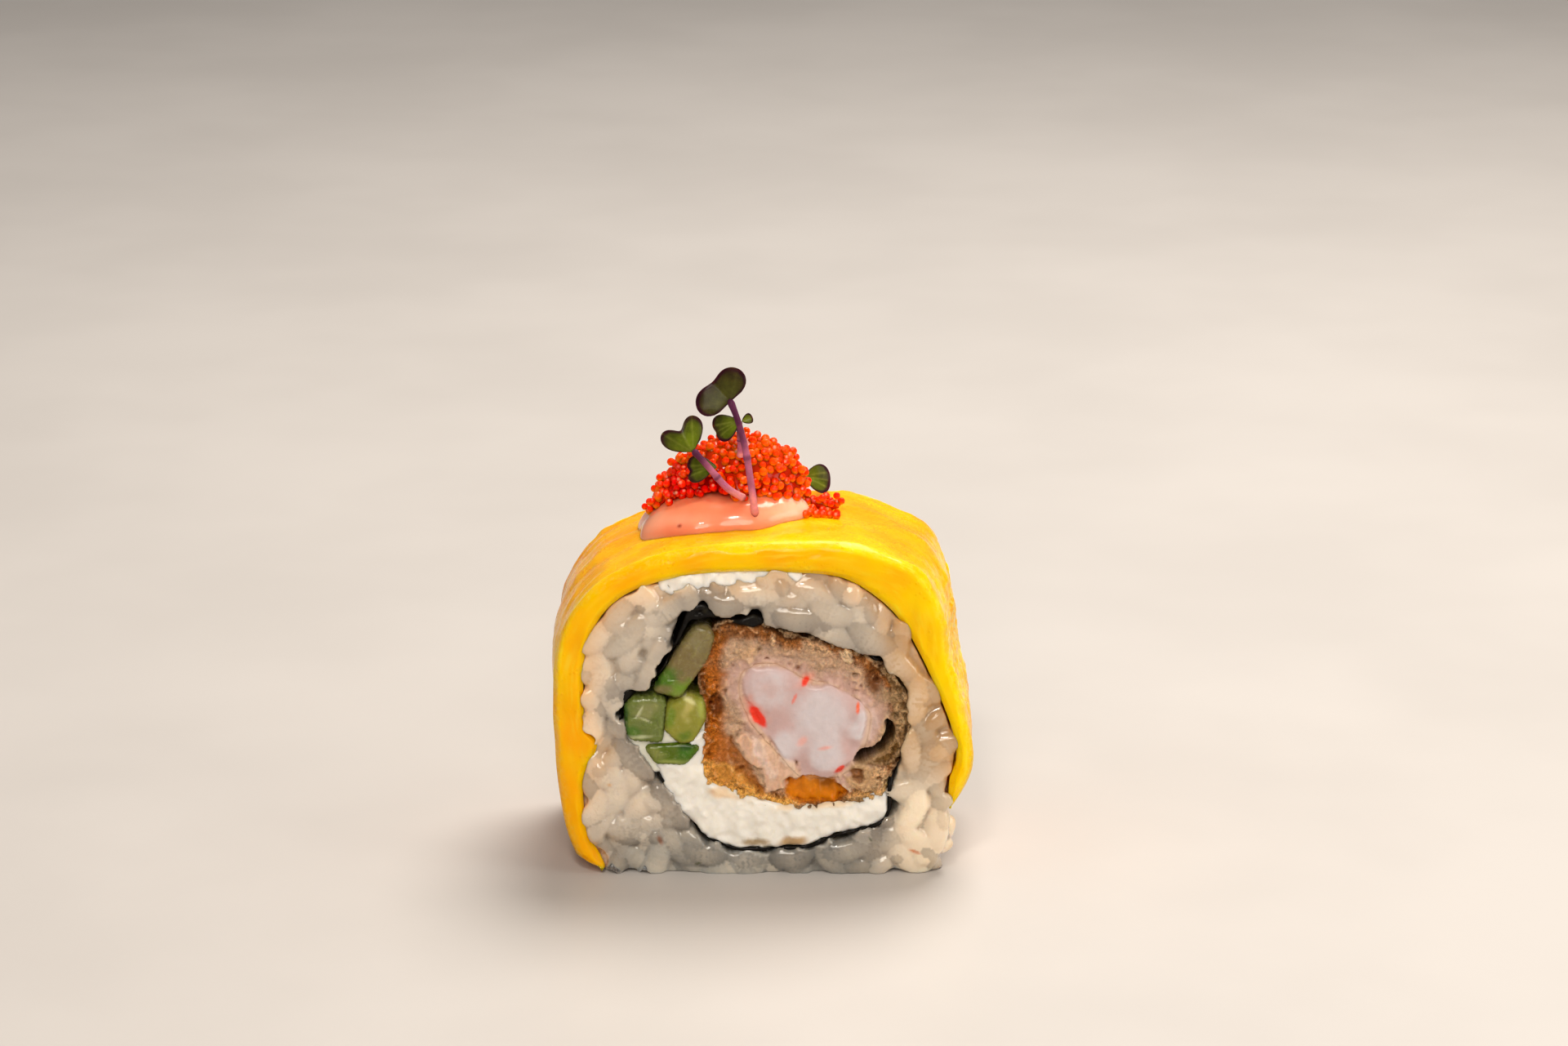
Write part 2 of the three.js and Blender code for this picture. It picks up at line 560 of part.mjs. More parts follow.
// A leaf lobe: thin to its rim, broadest past its middle and cupped across its width
function leafGeometry({ foot, tip, width, facing, cup }, grow = 0) {
  const start = new THREE.Vector3(...foot);
  const along = new THREE.Vector3(...tip).sub(start);
  const length = along.length() + 2 * grow;
  const thickness = LEAF_THICKNESS + grow;
  along.normalize();
  const side = along.clone().cross(new THREE.Vector3(...facing)).normalize();
  const normal = side.clone().cross(along).normalize();
  const middle = start.clone().addScaledVector(along, length / 2 - grow);
  const place = new THREE.Matrix4().makeBasis(side, along, normal).setPosition(middle);
  const geometry = new THREE.SphereGeometry(1, 8, 6);
  reshape(geometry, (vertex) => {
    const across = vertex.x * (0.82 + 0.28 * vertex.y);
    vertex.z = vertex.z * thickness + cup * across ** 2 + LEAF_WAVE * Math.sin(3 * vertex.y) * across;
    vertex.x = across * (width / 2 + grow);
    vertex.y = (vertex.y * length) / 2;
  });
  return geometry.applyMatrix4(place);
}

function sprout({ stem, leaves }) {
  const parts = [stemGeometry(stem, STEM_RADIUS), ...leaves.map((leaf) => leafGeometry(leaf))];
  return fuse(parts.map(toSolid));
}

// The slice as a scene graph: every piece sinks a little towards the back
const slice = new THREE.Group();
slice.name = 'mango_roll_slice';

function addPiece(name, solid, finish) {
  const geometry = reshape(toGeometry(solid), (vertex) => {
    vertex.z *= 1 - (BACK_SINK * (vertex.y - FRONT)) / SLICE_DEPTH;
  });
  geometry.computeVertexNormals();
  const material = new THREE.MeshStandardMaterial({ ...FINISHES[finish], metalness: 0 });
  const piece = new THREE.Mesh(geometry, material);
  piece.name = name;
  slice.add(piece);
}

addPiece('rice', riceRing(), 'rice');
addPiece('nori', noriSheet(), 'nori');
addPiece('tempura_batter', batterRing(), 'batter');
addPiece('crab_meat', meatPiece(), 'meat');
CUCUMBERS.forEach((points, i) => addPiece(`cucumber_${i + 1}`, cucumberStick(points), 'cucumber'));
addPiece('cream_cheese', creamCrescent(), 'cream');
addPiece('cream_cheese_top', creamTop(), 'cream');
addPiece('mango_slice', mangoSlice(), 'mango');
addPiece('sauce', sauceSpoon(), 'sauce');
addPiece('roe', roeHeap(), 'roe');
addPiece('sprout_tall', sprout(SPROUT_TALL), 'sprout');
addPiece('sprout_short', sprout(SPROUT_SHORT), 'sprout');
addPiece('sprout_small', sprout(SPROUT_SMALL), 'sprout');
addPiece('leaf_low', toSolid(leafGeometry(LEAF_LOW)), 'sprout');
addPiece('leaf_back', toSolid(leafGeometry(LEAF_BACK)), 'sprout');

export default slice;
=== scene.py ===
"""A slice of a mango sushi roll, dressed over its CAD frame.

Lengths are millimetres until a mesh is written, in the row frame: +X to the right seen from the
front cut face, +Y along the roll towards the back cut face, +Z up.
"""

import logging
import math
from collections.abc import Callable, Sequence
from dataclasses import dataclass, field
from enum import Enum
from functools import partial

import bmesh
import bpy
import numpy as np
from bpy.types import Material, Mesh, NodeSocket, NodeTree, Object
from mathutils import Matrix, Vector
from mathutils.bvhtree import BVHTree
from mathutils.geometry import delaunay_2d_cdt
from mathutils.kdtree import KDTree


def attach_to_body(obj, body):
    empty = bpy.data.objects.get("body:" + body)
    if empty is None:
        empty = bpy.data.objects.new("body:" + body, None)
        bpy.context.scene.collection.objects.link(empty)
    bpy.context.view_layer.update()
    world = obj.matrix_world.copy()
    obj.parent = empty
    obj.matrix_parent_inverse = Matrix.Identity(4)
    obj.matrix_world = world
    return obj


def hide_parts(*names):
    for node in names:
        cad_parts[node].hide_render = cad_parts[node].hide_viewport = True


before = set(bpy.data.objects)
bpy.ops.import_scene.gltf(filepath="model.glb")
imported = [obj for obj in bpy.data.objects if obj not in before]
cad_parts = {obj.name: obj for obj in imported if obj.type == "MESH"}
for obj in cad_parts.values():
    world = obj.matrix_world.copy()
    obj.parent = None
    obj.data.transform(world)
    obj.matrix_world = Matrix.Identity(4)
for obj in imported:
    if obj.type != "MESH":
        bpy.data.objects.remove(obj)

Array = np.ndarray
Rgb = tuple[float, float, float]
Point = tuple[float, float, float]
Outputs = bpy.types.bpy_prop_collection

MM = 0.001
FRONT = -12.0
BACK = 12.0
LEAN = 0.02
BODY = "root"

log = logging.getLogger("sushi")


class Face(Enum):
    """The two cut faces of the slice, by the side of Y that they look to."""

    FRONT = -1
    BACK = 1


# Numbers and lines


def srgb(red: float, green: float, blue: float) -> Rgb:
    """Turns display values of 0 to 255 into linear ones."""
    value = np.array([red, green, blue]) / 255
    linear = np.where(value <= 0.04045, value / 12.92, ((value + 0.055) / 1.055) ** 2.4)
    return tuple(float(part) for part in linear)


def ease(low: float, high: float, value: Array) -> Array:
    """Rises smoothly from 0 at low to 1 at high."""
    part = np.clip((value - low) / (high - low), 0, 1)
    return part * part * (3 - 2 * part)


def bell(value: Array, width: float) -> Array:
    """1 where a value is 0, falling towards 0 over a width on both sides."""
    return np.exp(-((value / width) ** 2))


def blend(first: Array | Rgb, second: Array | Rgb, share: Array) -> Array:
    """Mixes two colours or sets of rows, a share of the second for each row, at most all of it."""
    share = np.clip(share, 0, 1)[:, None]
    return np.asarray(first) * (1 - share) + np.asarray(second) * share


def lifted(plane: Array, value: float) -> Array:
    """Plane points with the same third number, for reading noise."""
    return np.column_stack([plane, np.full(len(plane), value)])


def at_depth(plane: Array, y: float | Array) -> Array:
    """Plane points of X and Z as places in space."""
    return np.insert(plane, 1, y, axis=1)


def signed_area(loop: Array) -> float:
    """Area inside a plane loop, positive when it runs anticlockwise."""
    after = np.roll(loop, -1, axis=0)
    return float(np.sum(loop[:, 0] * after[:, 1] - after[:, 0] * loop[:, 1]) / 2)


def resample(line: Array, spacing: float, closed: bool = True, count: int = 0) -> Array:
    """Spreads points evenly along a line.

    Args:
        line: points of the line, one row each
        spacing: distance between the new points
        closed: whether the line's end joins its start
        count: number of new points, which then sets the spacing

    Returns:
        the new points
    """
    points = np.vstack([line, line[:1]]) if closed else np.asarray(line, float)
    steps = np.linalg.norm(np.diff(points, axis=0), axis=1)
    run = np.concatenate([[0], np.cumsum(steps)])
    number = count or max(8, int(round(run[-1] / spacing)) + (0 if closed else 1))
    places = np.linspace(0, run[-1], number, endpoint=not closed)
    return np.column_stack([np.interp(places, run, column) for column in points.T])


def relax(line: Array, passes: int, closed: bool = True) -> Array:
    """Rounds a line by averaging each point with its neighbours.

    Args:
        line: points of the line, one row each
        passes: how often it is averaged
        closed: whether the line's end joins its start

    Returns:
        the rounded line, with the ends of an open line kept
    """
    points = np.array(line, float)
    for _ in range(passes):
        mean = 0.25 * np.roll(points, 1, axis=0) + 0.5 * points + 0.25 * np.roll(points, -1, axis=0)
        if not closed:
            mean[0], mean[-1] = points[0], points[-1]
        points = mean
    return points


def outward(loop: Array) -> Array:
    """Unit directions in the plane that point out of a loop, one for each point."""
    along = np.roll(loop, -1, axis=0) - np.roll(loop, 1, axis=0)
    side = np.column_stack([along[:, 1], -along[:, 0]]) * math.copysign(1, signed_area(loop))
    return side / np.maximum(np.linalg.norm(side, axis=1, keepdims=True), 1e-9)


def grown(loop: Array, amount: float | Array) -> Array:
    """Moves a loop outwards by a small amount, or inwards by a negative one."""
    return loop + outward(loop) * amount


def inside(points: Array, loops: Sequence[Array]) -> Array:
    """Tells which plane points lie in a region.

    Args:
        points: plane points, one row each
        loops: the region's outline and its holes

    Returns:
        True for each point that is in the outline and in no hole
    """
    odd = np.zeros(len(points), bool)
    for loop in loops:
        for start, end in zip(loop, np.roll(loop, -1, axis=0)):
            if start[1] == end[1]:
                continue
            spans = (start[1] > points[:, 1]) != (end[1] > points[:, 1])
            crossing = (end[0] - start[0]) * (points[:, 1] - start[1]) / (end[1] - start[1]) + start[0]
            odd ^= spans & (points[:, 0] < crossing)
    return odd


def nearest(points: Array, targets: Array) -> tuple[Array, Array]:
    """Finds the nearest target of each point.

    Args:
        points: places, one row of two or three numbers each
        targets: places of the same kind

    Returns:
        the distances, and the targets' row numbers
    """
    missing = ((0, 0), (0, 3 - points.shape[1]))
    tree = KDTree(len(targets))
    for row, place in enumerate(np.pad(targets, missing)):
        tree.insert(place, row)
    tree.balance()
    found = [tree.find(place)[1:] for place in np.pad(points, missing)]
    return np.array([item[1] for item in found]), np.array([item[0] for item in found])


def edge_distance(points: Array, *loops: Array) -> Array:
    """Distance from each plane point to the nearest of the loops."""
    return nearest(points, np.vstack([resample(loop, 0.12) for loop in loops]))[0]


class Grit:
    """Smooth seeded noise in space, for forms and for paint."""

    SIDE = 32

    def __init__(self, seed: int) -> None:
        """Draws the noise's lattice from its seed."""
        draw = np.random.default_rng(seed)
        self.lattice = draw.uniform(-1, 1, (self.SIDE,) * 3)
        self.seeds = draw.uniform(0, 1, (self.SIDE,) * 3 + (3,))

    def at(self, points: Array, size: float | Sequence[float]) -> Array:
        """Reads the noise.

        Args:
            points: places, one row each
            size: distance between peaks, or one distance for each axis

        Returns:
            a value between -1 and 1 for each place
        """
        scaled = points / np.asarray(size, float)
        base = np.floor(scaled).astype(int)
        part = ease(0, 1, scaled - base)
        total = np.zeros(len(points))
        for corner in np.ndindex(2, 2, 2):
            weight = np.prod(np.where(corner, part, 1 - part), axis=1)
            total += weight * self.lattice[tuple(((base + corner) % self.SIDE).T)]
        return total

    def layered(self, points: Array, size: float | Sequence[float], layers: int = 3) -> Array:
        """Adds finer and fainter noise to the first, each of half the size and strength."""
        size = np.asarray(size, float)
        return sum(self.at(points + 7.3 * layer, size / 2**layer) / 2**layer for layer in range(layers))

    def cells(self, points: Array, size: float) -> tuple[Array, Array]:
        """Measures a pattern of irregular cells.

        Args:
            points: places, one row each
            size: mean width of a cell

        Returns:
            distances to the nearest and the second nearest cell middle, in cell widths
        """
        scaled = points / size
        base = np.floor(scaled).astype(int)
        first = np.full(len(points), 9.0)
        second = first.copy()
        for step in np.ndindex(3, 3, 3):
            cell = base + np.array(step) - 1
            gap = np.linalg.norm(cell + self.seeds[tuple((cell % self.SIDE).T)] - scaled, axis=1)
            second = np.minimum(second, np.maximum(first, gap))
            first = np.minimum(first, gap)
        return first, second


# Shapes taken from the frame


def section(node: str, depth: float) -> list[Array]:
    """Cuts a CAD node across the roll.

    Args:
        node: name of the CAD node
        depth: place of the cut along Y

    Returns:
        the cut's closed outlines as X and Z, anticlockwise, the largest first, with the lean taken out
    """
    work = bmesh.new()
    work.from_mesh(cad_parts[node].data)
    bmesh.ops.remove_doubles(work, verts=work.verts, dist=1e-6)
    everything = work.verts[:] + work.edges[:] + work.faces[:]
    plane = {"plane_co": (0, depth * MM, 0), "plane_no": (0, 1, 0)}
    cut = bmesh.ops.bisect_plane(work, geom=everything, **plane)["geom_cut"]
    links: dict[int, list[int]] = {}
    places: dict[int, tuple[float, float]] = {}
    for edge in (item for item in cut if isinstance(item, bmesh.types.BMEdge)):
        for here, there in (tuple(edge.verts), tuple(edge.verts)[::-1]):
            links.setdefault(here.index, []).append(there.index)
            places[here.index] = (here.co.x / MM, here.co.z / MM)
    work.free()
    straight = 1 - LEAN * (depth - FRONT) / (BACK - FRONT)
    loops, waiting = [], set(links)
    while waiting:
        chain = [waiting.pop()]
        while ahead := [other for other in links[chain[-1]] if other in waiting]:
            waiting.discard(ahead[0])
            chain.append(ahead[0])
        loop = np.array([places[index] for index in chain]) / (1, straight)
        if len(chain) > 2 and abs(signed_area(loop)) > 0.05:
            loops.append(loop if signed_area(loop) > 0 else loop[::-1])
    return sorted(loops, key=signed_area, reverse=True)


def smooth_section(node: str, spacing: float = 0.3, passes: int = 2) -> list[Array]:
    """Cuts a CAD node across the roll's middle and rounds the cut's outlines."""
    return [relax(resample(loop, spacing), passes) for loop in section(node, 0.0)]


# Meshes


@dataclass
class Shape:
    """A mesh on its way to being a piece: places in millimetres, faces, and what each place carries."""

    places: Array
    faces: list[Sequence[int]]
    facts: dict[str, Array] = field(default_factory=dict)

    @property
    def plane(self) -> Array:
        """X and Z of a slab's places before its walls moved."""
        return np.column_stack([self.facts["x0"], self.facts["z0"]])

    def leaned(self, **facts: Array) -> "Shape":
        """The shape with other facts, lowered towards its back as the CAD solids are."""
        places = np.array(self.places, float)
        places[:, 2] *= 1 - LEAN * (places[:, 1] - FRONT) / (BACK - FRONT)
        return Shape(places, self.faces, facts)

    def mesh(self, name: str, closed: bool = True) -> Mesh:
        """Writes the shape as Blender's mesh.

        Args:
            name: name of the mesh
            closed: whether its faces are turned outwards

        Returns:
            the mesh, in metres and smoothly shaded
        """
        mesh = bpy.data.meshes.new(name)
        mesh.from_pydata((self.places * MM).tolist(), [], self.faces)
        for fact, values in self.facts.items():
            attach(mesh, fact, np.asarray(values, float))
        if closed:
            work = bmesh.new()
            work.from_mesh(mesh)
            bmesh.ops.recalc_face_normals(work, faces=work.faces)
            work.to_mesh(mesh)
            work.free()
        mesh.shade_smooth()
        mesh.update()
        return mesh


def attach(mesh: Mesh, name: str, values: Array) -> None:
    """Stores a number, a direction or a colour for each point of a mesh."""
    if values.ndim == 1:
        mesh.attributes.new(name, "FLOAT", "POINT").data.foreach_set("value", values)
    elif name == "paint":
        colours = np.pad(np.clip(values, 0, 1), ((0, 0), (0, 1)), constant_values=1)
        mesh.attributes.new(name, "FLOAT_COLOR", "POINT").data.foreach_set("color", colours.ravel())
    else:
        mesh.attributes.new(name, "FLOAT_VECTOR", "POINT").data.foreach_set("vector", values.ravel())


def column(items: Outputs, key: str, width: int) -> Array:
    """Reads a value of some width from each item of a mesh."""
    values = np.zeros(len(items) * width)
    items.foreach_get(key, values)
    return values.reshape(-1, width)


def read_shape(mesh: Mesh, facts: Sequence[str] = ()) -> Shape:
    """Turns Blender's mesh into a shape again, with the named numbers it carries."""
    kept = {fact: column(mesh.attributes[fact].data, "value", 1)[:, 0] for fact in facts}
    return Shape(column(mesh.vertices, "co", 3) / MM, [tuple(face.vertices) for face in mesh.polygons], kept)


def linked(mesh: Mesh, name: str) -> Object:
    """Puts a mesh into the scene as an object at the origin."""
    made = bpy.data.objects.new(name, mesh)
    bpy.context.scene.collection.objects.link(made)
    return made


def evaluated(obj: Object) -> Mesh:
    """Turns an object and its modifiers into a plain mesh, and removes the object."""
    bpy.context.view_layer.update()
    graph = bpy.context.evaluated_depsgraph_get()
    mesh = bpy.data.meshes.new_from_object(obj.evaluated_get(graph), depsgraph=graph)
    obj.modifiers.clear()
    bpy.data.objects.remove(obj)
    return mesh


def smoothed(shape: Shape, passes: int) -> Shape:
    """Moves each point of a shape half way to the mean of its neighbours, as often as asked."""
    edges = np.array([(a, b) for face in shape.faces for a, b in zip(face, face[1:] + face[:1])]).T
    places, count = shape.places.copy(), len(shape.places)
    ways = (edges, edges[::-1])
    number = np.maximum(sum(np.bincount(here, minlength=count) for here, _ in ways), 1)[:, None]
    for _ in range(passes):
        near = [[np.bincount(here, places[there, axis], count) for axis in range(3)] for here, there in ways]
        places += 0.5 * (np.transpose(np.add(*near)) / number - places)
    return Shape(places, shape.faces, shape.facts)


def joined(parts: Sequence[Shape]) -> Shape:
    """Joins shapes whose facts have the same names."""
    starts = np.cumsum([0] + [len(part.places) for part in parts]).tolist()
    faces = [[index + start for index in face] for part, start in zip(parts, starts) for face in part.faces]
    facts = {name: np.concatenate([part.facts[name] for part in parts]) for name in parts[0].facts}
    return Shape(np.vstack([part.places for part in parts]), faces, facts)


def strips(index: Array, closed: bool = True) -> list[list[int]]:
    """Four-sided faces between the rows of a grid of point numbers, whose rows may close on themselves."""
    grid = np.hstack([index, index[:, :1]]) if closed else index
    corners = [grid[:-1, :-1], grid[:-1, 1:], grid[1:, 1:], grid[1:, :-1]]
    return np.stack(corners, axis=-1).reshape(-1, 4).tolist()


def flipped(faces: list[list[int]]) -> list[list[int]]:
    """The same faces, looking the other way."""
    return [face[:1] + face[:0:-1] for face in faces]


def spun(start: Point, rings: Array, end: Point) -> Shape:
    """Closes rings of points into one body.

    Args:
        start: the pole before the first ring
        rings: places by ring and by turn
        end: the pole after the last ring

    Returns:
        the body
    """
    places = np.vstack([start, rings.reshape(-1, 3), end])
    index = 1 + np.arange(len(places) - 2).reshape(rings.shape[:2])
    first, last = (strips(np.vstack([ring, ring])) for ring in (index[0], index[-1]))
    faces = [[0, b, a] for a, b, *_ in first] + strips(index)
    return Shape(places, faces + [[len(places) - 1, a, b] for a, b, *_ in last])


def normals_of(shape: Shape) -> Array:
    """Directions out of a shape, one for each point."""
    mesh = Shape(shape.places, shape.faces).mesh("normals", closed=False)
    normals = column(mesh.vertices, "normal", 3)
    bpy.data.meshes.remove(mesh)
    return normals


def hollows(shape: Shape, passes: int) -> Array:
    """How far each point lies below its surroundings, in millimetres."""
    return ((smoothed(shape, passes).places - shape.places) * normals_of(shape)).sum(axis=1)


@dataclass
class Slab:
    """A thick slice of any outline, with a shaped cut face at each end."""

    loops: list[Array]
    half: float
    spacing: float
    layers: int | tuple[int, ...]
    seed: int

    def fill(self) -> tuple[Array, Array, list[Array]]:
        """Spreads points over the outline and joins them.

        Returns:
            the plane points, the triangles, and the point numbers of each loop
        """
        draw = np.random.default_rng(self.seed)
        edges = [resample(loop, self.spacing) for loop in self.loops]
        low, high = self.loops[0].min(axis=0), self.loops[0].max(axis=0)
        columns = np.arange(low[0], high[0], self.spacing)
        rows = np.arange(low[1], high[1], self.spacing * math.sqrt(3) / 2)
        grid = np.stack(np.meshgrid(columns, rows), axis=-1)
        grid[1::2, :, 0] += self.spacing / 2
        grid = grid.reshape(-1, 2)
        grid += draw.uniform(-0.18, 0.18, grid.shape) * self.spacing
        grid = grid[inside(grid, edges)]
        grid = grid[edge_distance(grid, *edges) > 0.6 * self.spacing]
        ends = np.cumsum([len(edge) for edge in edges])
        numbers = np.split(np.arange(ends[-1]), ends[:-1])
        points = np.vstack([*edges, grid])
        fences = [(int(a), int(b)) for row in numbers for a, b in zip(row, np.roll(row, -1))]
        made = delaunay_2d_cdt([Vector(point) for point in points], fences, [], 0, 1e-7)
        if len(made[0]) != len(points):
            raise ValueError("an outline crosses itself or a hole")
        old = np.array([source[0] for source in made[3]])
        triangles = old[np.array(made[2])]
        return points, triangles[inside(points[triangles].mean(axis=1), edges)], numbers

    def build(
        self,
        relief: Callable[[Array, Array, Face], Array],
        wall: Callable[[Array], Array] | None = None,
    ) -> Shape:
        """Makes the slab.

        Args:
            relief: how far each plane point lies inside a face, from the points, their distances to
                the outline, and the face
            wall: how far the side walls stand out at places in space

        Returns:
            the closed slab, with facts rim, the distance to the outline, and x0 and z0, the place
            in the plane before the walls moved
        """
        points, triangles, numbers = self.fill()
        count = len(points)
        rim = edge_distance(points, *self.loops)
        flats = [at_depth(points, face.value * (self.half - relief(points, rim, face))) for face in Face]
        faces = np.vstack([triangles, triangles[:, ::-1] + count]).tolist()
        places, source = np.vstack(flats), np.tile(np.arange(count), 2)
        totals = self.layers if isinstance(self.layers, tuple) else (self.layers,) * len(numbers)
        for row, total in zip(numbers, totals):
            share = (np.arange(1, total) / total)[:, None, None]
            rings = len(places) + np.arange((total - 1) * len(row)).reshape(total - 1, len(row))
            places = np.vstack([places, (flats[0][row] * (1 - share) + flats[1][row] * share).reshape(-1, 3)])
            source = np.append(source, np.tile(row, total - 1))
            faces += strips(np.vstack([row, rings, row + count]))
        if wall is not None:
            directions = np.zeros((count, 2))
            for number, row in enumerate(numbers):
                directions[row] = outward(points[row]) * (-1 if number else 1)
            places[:, [0, 2]] += directions[source] * wall(places)[:, None]
        return Shape(places, faces, {"rim": rim[source], "x0": points[source, 0], "z0": points[source, 1]})


def rounding(rim: Array, radius: float) -> Array:
    """Depth of a rounded edge at each distance from the edge."""
    part = np.clip(1 - rim / radius, 0, 1)
    return radius * (1 - np.sqrt(np.maximum(1 - part * part, 0)))


@dataclass(frozen=True)
class Spot:
    """An oval patch of another colour, in display values, on a cut face."""

    x: float
    z: float
    wide: float
    high: float
    turn: float
    colour: Rgb
    strength: float = 1.0
    soft: float = 0.5

    def share(self, plane: Array, wobble: Array) -> Array:
        """Strength of the patch, 0 outside it, at plane points whose edge wobbles."""
        angle = math.radians(self.turn)
        away = plane - (self.x, self.z)
        along = away[:, 0] * math.cos(angle) + away[:, 1] * math.sin(angle)
        across = away[:, 1] * math.cos(angle) - away[:, 0] * math.sin(angle)
        reach = np.hypot(along / self.wide, across / self.high) + wobble
        return self.strength * (1 - ease(1 - self.soft, 1, reach))


@dataclass(frozen=True)
class Flake:
    """A torn part of a cut face: its outline, how far it stands out, its colour and its soft edge.

    The outline gives X and Z in turn, and the colour is in display values.
    """

    outline: tuple[float, ...]
    lift: float
    colour: Rgb
    strength: float = 1.0
    soft: float = 0.7

    def within(self, plane: Array, wobble: Array) -> Array:
        """0 outside the flake and 1 inside it, at plane points whose edge wobbles."""
        loop = relax(resample(np.reshape(self.outline, (-1, 2)), 0.2), 2)
        close = ((plane > loop.min(axis=0) - 2) & (plane < loop.max(axis=0) + 2)).all(axis=1)
        here = plane[close]
        gap = edge_distance(here, loop)
        share = np.zeros(len(plane))
        depth = np.where(inside(here, [loop]), gap, -gap)
        share[close] = ease(-self.soft / 2, self.soft / 2, depth + wobble[close])
        return share

    def share(self, plane: Array, wobble: Array) -> Array:
        """Strength of the flake's colour at plane points whose edge wobbles."""
        return self.strength * self.within(plane, wobble)


def patched(paint: Array | Rgb, plane: Array, patches: Sequence[Spot | Flake], wobble: Array) -> Array:
    """Lays spots or flakes over a paint, one after another."""
    for patch in patches:
        paint = blend(paint, srgb(*patch.colour), patch.share(plane, wobble))
    return paint


# Small shapes that repeat


def wired(tree: NodeTree, kind: str, inputs: dict | None = None, **settings: str) -> Outputs:
    """Adds a node to a tree.

    Args:
        tree: the tree
        kind: the node's type
        inputs: for some of its inputs, by name or number, a value or the socket to read
        settings: the node's own settings

    Returns:
        the node's outputs
    """
    node = tree.nodes.new(kind)
    for name, value in settings.items():
        setattr(node, name, value)
    for key, value in (inputs or {}).items():
        feed(tree, node.inputs[key], value)
    return node.outputs


def feed(tree: NodeTree, target: NodeSocket, value: NodeSocket | float | Sequence[float]) -> None:
    """Gives an input its value or the socket to read."""
    if isinstance(value, NodeSocket):
        tree.links.new(value, target)
    else:
        target.default_value = value


@dataclass(frozen=True)
class Scatter:
    """Geometry Nodes that stand one small shape on many points of a surface."""

    name: str
    seed: int
    spacing: float
    crowd: float
    smallest: float
    largest: float
    tilt: float

    def tree(self, unit: Object, material: Material) -> NodeTree:
        """Builds the node tree.

        Args:
            unit: the small shape
            material: what the scattered shapes are made of

        Returns:
            the tree, with named inputs for its sizes
        """
        tree = bpy.data.node_groups.new(self.name, "GeometryNodeTree")
        sizes = dict.fromkeys(("Spacing", "Crowd", "Smallest", "Largest", "Tilt"), "Float")
        for label, kind in {"Surface": "Geometry", **sizes, "Seed": "Int"}.items():
            tree.interface.new_socket(label, in_out="INPUT", socket_type=f"NodeSocket{kind}")
        tree.interface.new_socket("Shapes", in_out="OUTPUT", socket_type="NodeSocketGeometry")

        node = partial(wired, tree)
        given = node("NodeGroupInput")
        seed = given["Seed"]
        sown = {"Mesh": given["Surface"], "Distance Min": given["Spacing"], "Density Max": given["Crowd"]}
        sown["Seed"] = seed
        points = node("GeometryNodeDistributePointsOnFaces", sown, distribute_method="POISSON")
        reach = node("ShaderNodeCombineXYZ", {"X": given["Tilt"], "Y": given["Tilt"], "Z": math.pi})[0]
        back = node("ShaderNodeVectorMath", {0: reach, "Scale": -1}, operation="SCALE")[0]
        turn = node("FunctionNodeRandomValue", {0: back, 1: reach, "Seed": seed}, data_type="FLOAT_VECTOR")[0]
        euler = node("FunctionNodeEulerToRotation", {0: turn})[0]
        turned = {0: points["Rotation"], 1: euler}
        rotation = node("FunctionNodeRotateRotation", turned, rotation_space="LOCAL")[0]
        ends = {2: given["Smallest"], 3: given["Largest"]}
        size = node("FunctionNodeRandomValue", {**ends, "Seed": seed}, data_type="FLOAT")[1]
        shape = node("GeometryNodeObjectInfo", {"Object": unit})["Geometry"]
        stood = {"Points": points["Points"], "Instance": shape, "Rotation": rotation, "Scale": size}
        stand = node("GeometryNodeInstanceOnPoints", stood)[0]
        draw = node("FunctionNodeRandomValue", {"Seed": seed}, data_type="FLOAT")[1]
        tint = {"Geometry": stand, "Name": "tint", "Value": draw}
        store = node("GeometryNodeStoreNamedAttribute", tint, data_type="FLOAT", domain="INSTANCE")[0]
        real = node("GeometryNodeRealizeInstances", {"Geometry": store})[0]
        finish = node("GeometryNodeSetMaterial", {"Geometry": real, "Material": material})[0]
        node("NodeGroupOutput", {"Shapes": finish})
        return tree

    def spread(self, surface: Shape, unit: Shape, material: Material) -> Shape:
        """Scatters the unit over the surface.

        Args:
            surface: the shape whose faces take the points
            unit: the small shape, standing on the origin with Z out of the surface
            material: what the scattered shapes are made of

        Returns:
            all the scattered shapes, with the unit's facts and tint, a random number for each of them
        """
        small = linked(unit.mesh(f"{self.name}_unit"), f"{self.name}_unit")
        ground = linked(surface.mesh(f"{self.name}_ground", closed=False), f"{self.name}_ground")
        tree = self.tree(small, material)
        modifier = ground.modifiers.new(self.name, "NODES")
        modifier.node_group = tree
        sizes = {
            "Spacing": self.spacing * MM,
            "Crowd": self.crowd / MM**2,
            "Smallest": self.smallest,
            "Largest": self.largest,
            "Tilt": math.radians(self.tilt),
            "Seed": self.seed,
        }
        for item in tree.interface.items_tree:
            if item.name in sizes:
                modifier[item.identifier] = sizes[item.name]
        mesh = evaluated(ground)
        bpy.data.objects.remove(small)
        return read_shape(mesh, ["tint", *unit.facts])


def ball(radius: float) -> Shape:
    """A round unit of 80 triangles."""
    work = bmesh.new()
    bmesh.ops.create_icosphere(work, subdivisions=2, radius=radius)
    mesh = bpy.data.meshes.new("ball")
    work.to_mesh(mesh)
    work.free()
    shape = read_shape(mesh)
    bpy.data.meshes.remove(mesh)
    return Shape(shape.places * MM, shape.faces)


# Node networks of the finishes


